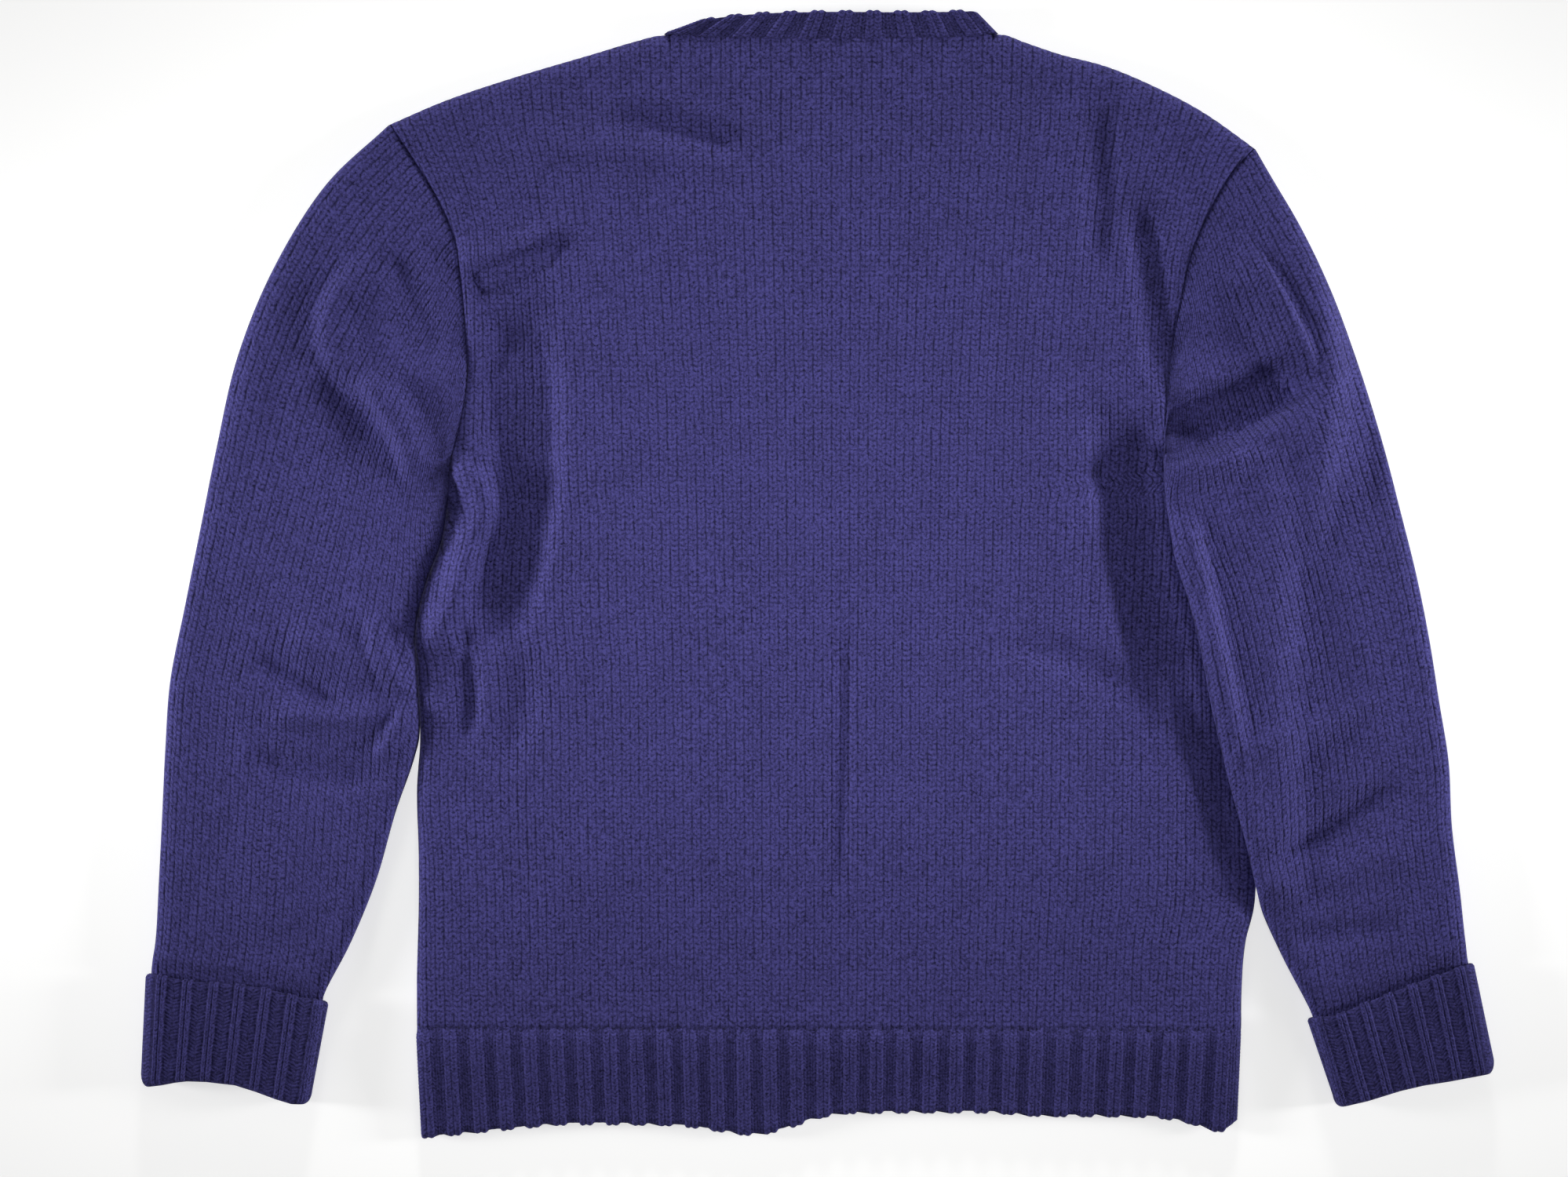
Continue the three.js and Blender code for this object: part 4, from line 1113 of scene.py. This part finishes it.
def neckband_cloth(lay):
    cloth = Cloth()
    length = NECK_RIGHT - NECK_LEFT
    ribs = rib_places(NECK_RIBS, NECK_RIB_COLUMNS)
    share_top = ribs / NECK_RIBS
    share_low = np.linspace(1, 0, 81)[1:-1]
    share = np.concatenate([share_top, share_low])
    upper = np.arange(len(share)) < len(ribs)
    few = np.concatenate([np.linspace(0, 1, COARSE_COLUMNS), share_low[::2]])
    few_upper = np.arange(len(few)) < COARSE_COLUMNS

    def place(up, upper_face):
        def at(s):
            x = mixed(NECK_LEFT, NECK_RIGHT, s)
            seam = pairs(x, top_edge.y_at(x) + SEAM_CLEARANCE)
            free_x = mixed(NECK_FREE_LEFT[0], NECK_FREE_RIGHT[0], s)
            free_y = mixed(NECK_FREE_LEFT[1], NECK_FREE_RIGHT[1], s)
            free_y = mixed(free_y, NECK_FREE_MIDDLE_Y, np.sin(np.pi * s) ** NECK_FREE_POWER)
            plan = mixed(seam, pairs(free_x, free_y), up)
            plan[..., 1] -= np.where(upper_face, 0.0, front_scoop(x))
            return plan
        return at

    def loop(up, inset, share, upper_face):
        def high(plan):
            seam_y = np.full(plan.shape[:-1], NECK_SEAM_Y)
            return lay.body_top(plan[..., 0], seam_y) + NECK_LIFT * up
        plan_at = place(up, upper_face)
        return tube_face(plan_at, share, inset, length, on_table, high, NECK_ROLL, upper_face)

    turn = np.linspace(0, np.pi / 2, 6)[1:]
    rounded_ups = 1 + np.sin(turn) * NECK_ROUNDING / NECK_DEPTH
    ups = np.concatenate([np.linspace(0, 1, NECK_ROWS), rounded_ups])
    insets = np.concatenate([np.zeros(NECK_ROWS), (1 - np.cos(turn)) * NECK_ROUNDING])
    outer = np.stack([loop(up, inset, share, upper) for up, inset in zip(ups, insets)])
    v = lengths_along(outer) / RIB_COURSE
    all_ribs = np.where(upper, share, -share) * NECK_RIBS
    shown = np.where(upper, smoothstep(np.minimum(share, 1 - share), 0.0, 0.02), 0.0)
    relief = lay.rib_relief * NECK_RELIEF * rib_relief(all_ribs, v, RIB_PROFILE) * shown
    stitches = rib_stitches(all_ribs, v, RIB_WALES)
    fine = cloth.grid(raised(outer, relief, -1), stitches, closed=True)
    inner = np.stack([loop(up, WALL, few, few_upper) for up in (1.0, 0.5, 0.0)])
    inner_v = lengths_along(inner) / RIB_COURSE
    coarse = cloth.grid(inner, rib_stitches(few * NECK_RIBS, inner_v, RIB_WALES), closed=True)
    cloth.close(fine, coarse)
    return cloth


# Wool

# Painted shade: how much darker the sunk wales between two ribs are coloured, for the shade in their
# recess
SUNK_WALE_PAINTED_SHADE = 0.2
# Courses below the seam in which the hem takes the shade of the plain wool
HEM_JOIN = 8.0


class Signal:
    """A number that varies over a surface. Arithmetic on it adds Math nodes."""

    def __init__(self, shader, node, output=0):
        self.shader, self.node, self.socket = shader, node, node.outputs[output]

    def output(self, name):
        return Signal(self.shader, self.node, name)

    def _math(self, operation, *values):
        inputs = dict(enumerate(values))
        return self.shader.add("ShaderNodeMath", {"operation": operation}, inputs)

    def __add__(self, other):
        return self._math("ADD", self, other)

    def __sub__(self, other):
        return self._math("SUBTRACT", self, other)

    def __rsub__(self, other):
        return self._math("SUBTRACT", other, self)

    def __mul__(self, other):
        return self._math("MULTIPLY", self, other)

    def __pow__(self, other):
        return self._math("POWER", self, other)

    def fract(self):
        return self._math("FRACT", self)

    def abs(self):
        return self._math("ABSOLUTE", self)

    def sin(self):
        return self._math("SINE", self)

    def clamped(self):
        node = self._math("ADD", self, 0.0)
        node.node.use_clamp = True
        return node

    __radd__ = __add__
    __rmul__ = __mul__


class Shader:
    """A material's node tree, built from signals."""

    def __init__(self, name):
        self.material = bpy.data.materials.new(name)
        self.material.use_nodes = True
        self.tree = self.material.node_tree
        self.surface = self.tree.nodes["Principled BSDF"]

    def add(self, kind, settings=None, inputs=None, output=0):
        """Adds a node with its settings, then its socket values or links."""
        node = self.tree.nodes.new(kind)
        for name, value in (settings or {}).items():
            setattr(node, name, value)
        for name, value in (inputs or {}).items():
            self.feed(node.inputs[name], value)
        return Signal(self, node, output)

    def feed(self, socket, value):
        if isinstance(value, Signal):
            self.tree.links.new(value.socket, socket)
        else:
            socket.default_value = value

    def noise(self, place, scale, detail=2.0, roughness=0.5):
        inputs = {"Vector": place, "Scale": scale, "Detail": detail, "Roughness": roughness}
        return self.add("ShaderNodeTexNoise", None, inputs)

    def mix_colour(self, factor, first, second):
        inputs = {0: factor, 6: first, 7: second}
        return self.add("ShaderNodeMix", {"data_type": "RGBA"}, inputs, 2)

    def set_surface(self, values):
        for name, value in values.items():
            self.feed(self.surface.inputs[name], value)


def opaque(colour):
    return (*colour[:3], 1.0)


def wool(name, colours, yarn, slant, furrow_shade_strength, wales_per_rib=0, joins=False):
    """Brushed wool with V stitches: one V for each whole number of the stitch map.

    With joins, the yarn fades into the plain wool's at the upper edge of the hem.
    """
    shader = Shader(name)
    uv = shader.add("ShaderNodeUVMap", {"uv_map": "Stitches"})
    place = shader.add("ShaderNodeTexCoord", None, None, "Object")
    axes = shader.add("ShaderNodeSeparateXYZ", None, {0: uv})
    u = axes.output("X") + (shader.noise(place, 110.0, 1.0) - 0.5) * 0.3
    v = axes.output("Y") + (shader.noise(place, 170.0, 1.0) - 0.5) * 0.8
    side = (u.fract() - 0.5).abs() * 2.0
    leg = (u * (2 * np.pi)).sin().abs() ** 0.5
    loop = (((v - side * slant).fract()) * np.pi).sin() ** 0.5
    # Dark dashes of uneven length in the furrows between the wales, fainter ones inside a wale. They
    # dent the bump and, as painted shade, darken the colour.
    stretched = shader.add("ShaderNodeCombineXYZ", None, {"X": u * 1.7, "Y": v * 0.5})
    dashes = (shader.noise(stretched, 1.0, 2.0) * 3.2 - 1.0).clamped()
    furrow = ((side - 0.66) * 3.4).clamped()
    inside = ((0.24 - side) * 3.6).clamped()
    furrow_dent_and_shade = (furrow + inside * 0.5) * dashes
    fuzz = shader.noise(place, 620.0, 2.0, 0.8)
    height = leg * 0.4 + loop * 0.6 + fuzz * 0.6 - furrow_dent_and_shade * 0.8
    # Painted light: the yarn is lighter on the raised legs and loops of the stitches, and the fuzz
    # adds random tone
    lit = leg * 0.14 + loop * 0.44 + 0.22 + (fuzz - 0.5) * 2.4
    mottle = shader.noise(place, 40.0, 3.0, 0.6) * 0.44 + 0.78
    # Painted shade: the colour darkens towards the gap colour along the furrow dashes
    tone = lit * (1.0 - furrow_dent_and_shade * furrow_shade_strength) * mottle
    if wales_per_rib:
        start = 1.0 + wales_per_rib / 4
        # Painted shade in the sunk wales between the ribs
        sunk = ((axes.output("X") - start) * (2 * np.pi / wales_per_rib)).sin() * 1.6
        tone = tone * (1.0 - sunk.clamped() * SUNK_WALE_PAINTED_SHADE)
    strand = opaque(yarn)
    if joins:
        uneven = (shader.noise(place, 90.0, 2.0) - 0.5) * 1.6
        above = (axes.output("Y") - HEM_TOP_Y / RIB_COURSE) * (1 / HEM_JOIN) + 1.0 + uneven
        strand = shader.mix_colour(above.clamped(), strand, opaque(colours.yarn))
    colour = shader.mix_colour(tone.clamped(), opaque(colours.gap), strand)
    bump = shader.add("ShaderNodeBump", None, {
        "Strength": 0.8, "Distance": 0.0006, "Height": height,
    })
    shader.set_surface({
        "Base Color": colour,
        "Roughness": 0.92,
        "Normal": bump,
        "Specular IOR Level": 0.1,
        "Sheen Weight": 0.06,
        "Sheen Roughness": 0.45,
        "Sheen Tint": opaque(colours.nap),
    })
    return shader.material


def plain_floor(stage):
    shader = Shader("Pale floor")
    place = shader.add("ShaderNodeTexCoord", None, None, "Object")
    grain = shader.noise(place, 6.0, 2.0) * 0.06 + 0.94
    colour = shader.mix_colour(grain.clamped(), (0.7, 0.7, 0.7, 1.0), opaque(stage.floor_colour))
    shader.set_surface({
        "Base Color": colour,
        "Roughness": 0.85,
        "Specular IOR Level": 0.1,
        "Emission Color": (1.0, 1.0, 1.0, 1.0),
        "Emission Strength": stage.floor_glow,
    })
    return shader.material


# Settings

def length_setting(name, description, size, least, most):
    """A length setting, from sizes in millimetres."""
    return bpy.props.FloatProperty(
        name=name, description=description, default=size * MM, min=least * MM, max=most * MM,
        unit="LENGTH", precision=5,
    )


def colour_setting(name, description, *parts):
    return bpy.props.FloatVectorProperty(
        name=name, description=description, default=parts, size=3, min=0.0, max=1.0,
        subtype="COLOR",
    )


def power_setting(name, description, watts):
    return bpy.props.FloatProperty(
        name=name, description=description, default=watts, min=0.0, max=200.0, unit="POWER",
    )


def factor_setting(name, description, share, most):
    return bpy.props.FloatProperty(
        name=name, description=description, default=share, min=0.0, max=most, subtype="FACTOR",
    )


class KnitSettings(bpy.types.PropertyGroup):
    """Sizes of the knit and of the way it lies."""

    wale_relief: length_setting(
        "Wale relief", "Height of a wale over the furrows beside it", 0.22, 0, 3,
    )
    rib_relief: length_setting(
        "Rib relief", "Height of the ribs of hem, cuffs and neckband", 1.5, 0, 4,
    )
    body_loft: length_setting(
        "Body loft", "Height of the middle of the back over the table", BODY_LOFT, 9, 25,
    )
    sleeve_loft: length_setting(
        "Sleeve loft", "Height of a sleeve over what it lies on", SLEEVE_LOFT, 9, 20,
    )
    fold_strength: factor_setting("Fold strength", "How far the folds rise and sink", 1.0, 1.5)


class WoolColours(bpy.types.PropertyGroup):
    """Colours of the wool."""

    yarn: colour_setting("Yarn", "Yarn of the plain knitting", 0.0735, 0.067, 0.253)
    rib_yarn: colour_setting("Rib yarn", "Yarn of the tighter ribs", 0.069, 0.063, 0.237)
    # The gap colour is painted shade: the wool's colour darkens to it in the furrows between
    # stitches
    gap: colour_setting("Gaps", "Depth between the stitches", 0.006, 0.005, 0.022)
    nap: colour_setting("Nap", "Loose fibres over the surface", 0.5, 0.48, 0.75)


class StageSettings(bpy.types.PropertyGroup):
    """The floor and the light round the sweater."""

    floor_colour: colour_setting("Floor", "Colour of the floor", 0.62, 0.62, 0.612)
    floor_glow: factor_setting(
        "Floor glow", "Light that the floor sends out, which keeps its shadows pale", 0.6, 1.0,
    )
    side_power: power_setting("Side lights", "Power of each of the two soft side lights", 1.82)
    upper_power: power_setting("Upper light", "Power of the soft light beyond the neck", 1.35)
    top_power: power_setting("Top light", "Power of the soft light straight above", 0.42)
    ambient: factor_setting("Ambient", "Strength of the even light from all round", 0.17, 2.0)


def wool_material(name):
    """The wool of body and sleeves, of the hem, of the cuffs or of the neckband, made once."""
    if name in bpy.data.materials:
        return bpy.data.materials[name]
    colours = bpy.context.scene.sweater_colours
    if name == "Plain wool":
        return wool(name, colours, colours.yarn, 0.55, 0.75)
    if name == "Cuff wool":
        return wool(name, colours, colours.rib_yarn, 0.9, 0.5, CUFF_WALES[-1][1])
    return wool(name, colours, colours.rib_yarn, 0.7, 0.55, RIB_WALES[-1][1], name == "Hem wool")


def cut_area(outline):
    """Area in square metres inside a closed outline of plan points."""
    x, y = np.array(outline, float).T
    return abs(np.dot(x, np.roll(y, -1)) - np.dot(y, np.roll(x, -1))) / 2 * MM * MM


BODY_OUTLINE = (
    *TOP_EDGE, *ARMHOLE_RIGHT[1:], *SIDE_RIGHT[1:], *SIDE_LEFT[::-1], *ARMHOLE_LEFT[::-1],
)


def finish_piece(piece, node):
    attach(piece, "root")
    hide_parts(node)


class SWEATER_OT_front(bpy.types.Operator):
    """Add the plain front, flat on the table"""

    bl_idname = "sweater.front"
    bl_label = "Front"

    def execute(self, context):
        piece = front_cloth().build("Front", wool_material("Plain wool"))
        finish_piece(piece, "front_panel")
        cut_area(BODY_OUTLINE)
        return {"FINISHED"}


class SWEATER_OT_back(bpy.types.Operator):
    """Add the knitted back with its wales, valleys and creases"""

    bl_idname = "sweater.back"
    bl_label = "Back"

    def execute(self, context):
        lay = Lay(context.scene.sweater_knit)
        piece = back_cloth(lay).build("Back", wool_material("Plain wool"))
        finish_piece(piece, "back_panel")
        cut_area(BODY_OUTLINE) * 1.03
        return {"FINISHED"}


class SWEATER_OT_hem(bpy.types.Operator):
    """Add the ribbed hem bands of back and front"""

    bl_idname = "sweater.hem"
    bl_label = "Hem ribs"

    def execute(self, context):
        lay = Lay(context.scene.sweater_knit)
        back = hem_back_cloth(lay).build("Hem_rib_back", wool_material("Hem wool"))
        finish_piece(back, "hem_rib_back")
        front = hem_front_cloth().build("Hem_rib_front", wool_material("Hem wool"))
        finish_piece(front, "hem_rib_front")
        return {"FINISHED"}


class SWEATER_OT_sleeves(bpy.types.Operator):
    """Add both sleeves, each a knitted tube"""

    bl_idname = "sweater.sleeves"
    bl_label = "Sleeves"

    def execute(self, context):
        lay = Lay(context.scene.sweater_knit)
        for name, under in (("left", "Floor"), ("right", "Back")):
            piece = sleeve_cloth(name, lay).build(f"Sleeve_{name}", wool_material("Plain wool"))
            finish_piece(piece, f"sleeve_{name}")
            sections = np.array(SLEEVE_SECTIONS[name])
            outline = (*sections[:, :2], *sections[::-1, 2:])
            2 * cut_area(outline) * 1.04
        return {"FINISHED"}


class SWEATER_OT_cuffs(bpy.types.Operator):
    """Add both turned-back cuffs"""

    bl_idname = "sweater.cuffs"
    bl_label = "Cuffs"

    def execute(self, context):
        lay = Lay(context.scene.sweater_knit)
        for name in CUFF_CORNERS:
            piece = cuff_cloth(name, lay).build(f"Cuff_{name}", wool_material("Cuff wool"))
            finish_piece(piece, f"cuff_{name}")
        return {"FINISHED"}


class SWEATER_OT_neckband(bpy.types.Operator):
    """Add the ribbed neckband"""

    bl_idname = "sweater.neckband"
    bl_label = "Neckband"

    def execute(self, context):
        lay = Lay(context.scene.sweater_knit)
        piece = neckband_cloth(lay).build("Neckband", wool_material("Ribbed wool"))
        finish_piece(piece, "neckband")
        return {"FINISHED"}


def add_soft_light(name, place, power, spread=LIGHT_SPREAD):
    """A square soft light that points at the middle of the floor."""
    light = bpy.data.lights.new(name, "AREA")
    light.size = LIGHT_SIZE
    light.spread = spread
    light.energy = power
    lamp = bpy.data.objects.new(name, light)
    lamp.location = place
    lamp.rotation_euler = (-lamp.location).to_track_quat("-Z", "Y").to_euler()
    bpy.context.scene.collection.objects.link(lamp)


class SWEATER_OT_stage(bpy.types.Operator):
    """Add the pale floor, the soft lights and the camera straight above"""

    bl_idname = "sweater.stage"
    bl_label = "Stage"

    def execute(self, context):
        scene = context.scene
        stage = scene.sweater_stage
        mesh = bpy.data.meshes.new("Floor")
        signs = ((-1, -1), (1, -1), (1, 1), (-1, 1))
        corners = [(x * FLOOR_HALF, y * FLOOR_HALF, FLOOR_Z) for x, y in signs]
        mesh.from_pydata(corners, [], [(0, 1, 2, 3)])
        mesh.materials.append(plain_floor(stage))
        floor = bpy.data.objects.new("Floor", mesh)
        scene.collection.objects.link(floor)

        add_soft_light("Left light", (-LIGHT_AWAY, 0.0, LIGHT_HEIGHT), stage.side_power)
        add_soft_light("Right light", (LIGHT_AWAY, 0.0, LIGHT_HEIGHT), stage.side_power)
        add_soft_light("Upper light", UPPER_LIGHT, stage.upper_power, UPPER_SPREAD)
        add_soft_light("Top light", (0.0, 0.0, TOP_LIGHT_HEIGHT), stage.top_power)
        world = bpy.data.worlds.new("Even light")
        world.use_nodes = True
        background = world.node_tree.nodes["Background"]
        background.inputs["Color"].default_value = (1.0, 1.0, 1.0, 1.0)
        background.inputs["Strength"].default_value = stage.ambient
        scene.world = world

        camera = bpy.data.cameras.new("Camera")
        camera.sensor_width = SENSOR_WIDTH
        camera.lens = SENSOR_WIDTH * CAMERA_HEIGHT / (PHOTO_WIDTH * MM)
        holder = bpy.data.objects.new("Camera", camera)
        middle = np.array(PHOTO_MIDDLE) * MM + SHIFT[:2]
        holder.location = (middle[0], middle[1], CAMERA_HEIGHT)
        scene.collection.objects.link(holder)
        scene.camera = holder
        scene.view_settings.view_transform = "Standard"
        return {"FINISHED"}


OPERATORS = (
    SWEATER_OT_stage,
    SWEATER_OT_front,
    SWEATER_OT_back,
    SWEATER_OT_hem,
    SWEATER_OT_sleeves,
    SWEATER_OT_cuffs,
    SWEATER_OT_neckband,
)


class SWEATER_PT_pieces(bpy.types.Panel):
    """Lists the sweater's pieces, its sizes and its colours"""

    bl_idname = "SWEATER_PT_pieces"
    bl_label = "Sweater"
    bl_space_type = "VIEW_3D"
    bl_region_type = "UI"
    bl_category = "Sweater"

    def draw(self, context):
        layout = self.layout
        for operator in OPERATORS:
            layout.operator(operator.bl_idname)
        for settings in SETTINGS:
            group = getattr(context.scene, settings)
            box = layout.box()
            for name in group.bl_rna.properties.keys():
                if name not in ("rna_type", "name"):
                    box.prop(group, name)


SETTINGS = {
    "sweater_knit": KnitSettings,
    "sweater_colours": WoolColours,
    "sweater_stage": StageSettings,
}
CLASSES = (*SETTINGS.values(), *OPERATORS, SWEATER_PT_pieces)


def register():
    for item in CLASSES:
        bpy.utils.register_class(item)
    for name, group in SETTINGS.items():
        setattr(bpy.types.Scene, name, bpy.props.PointerProperty(type=group))


def unregister():
    for name in SETTINGS:
        delattr(bpy.types.Scene, name)
    for item in reversed(CLASSES):
        bpy.utils.unregister_class(item)


def main():
    register()
    for operator in OPERATORS:
        family, name = operator.bl_idname.split(".")
        getattr(getattr(bpy.ops, family), name)()


if __name__ == "__main__":
    main()
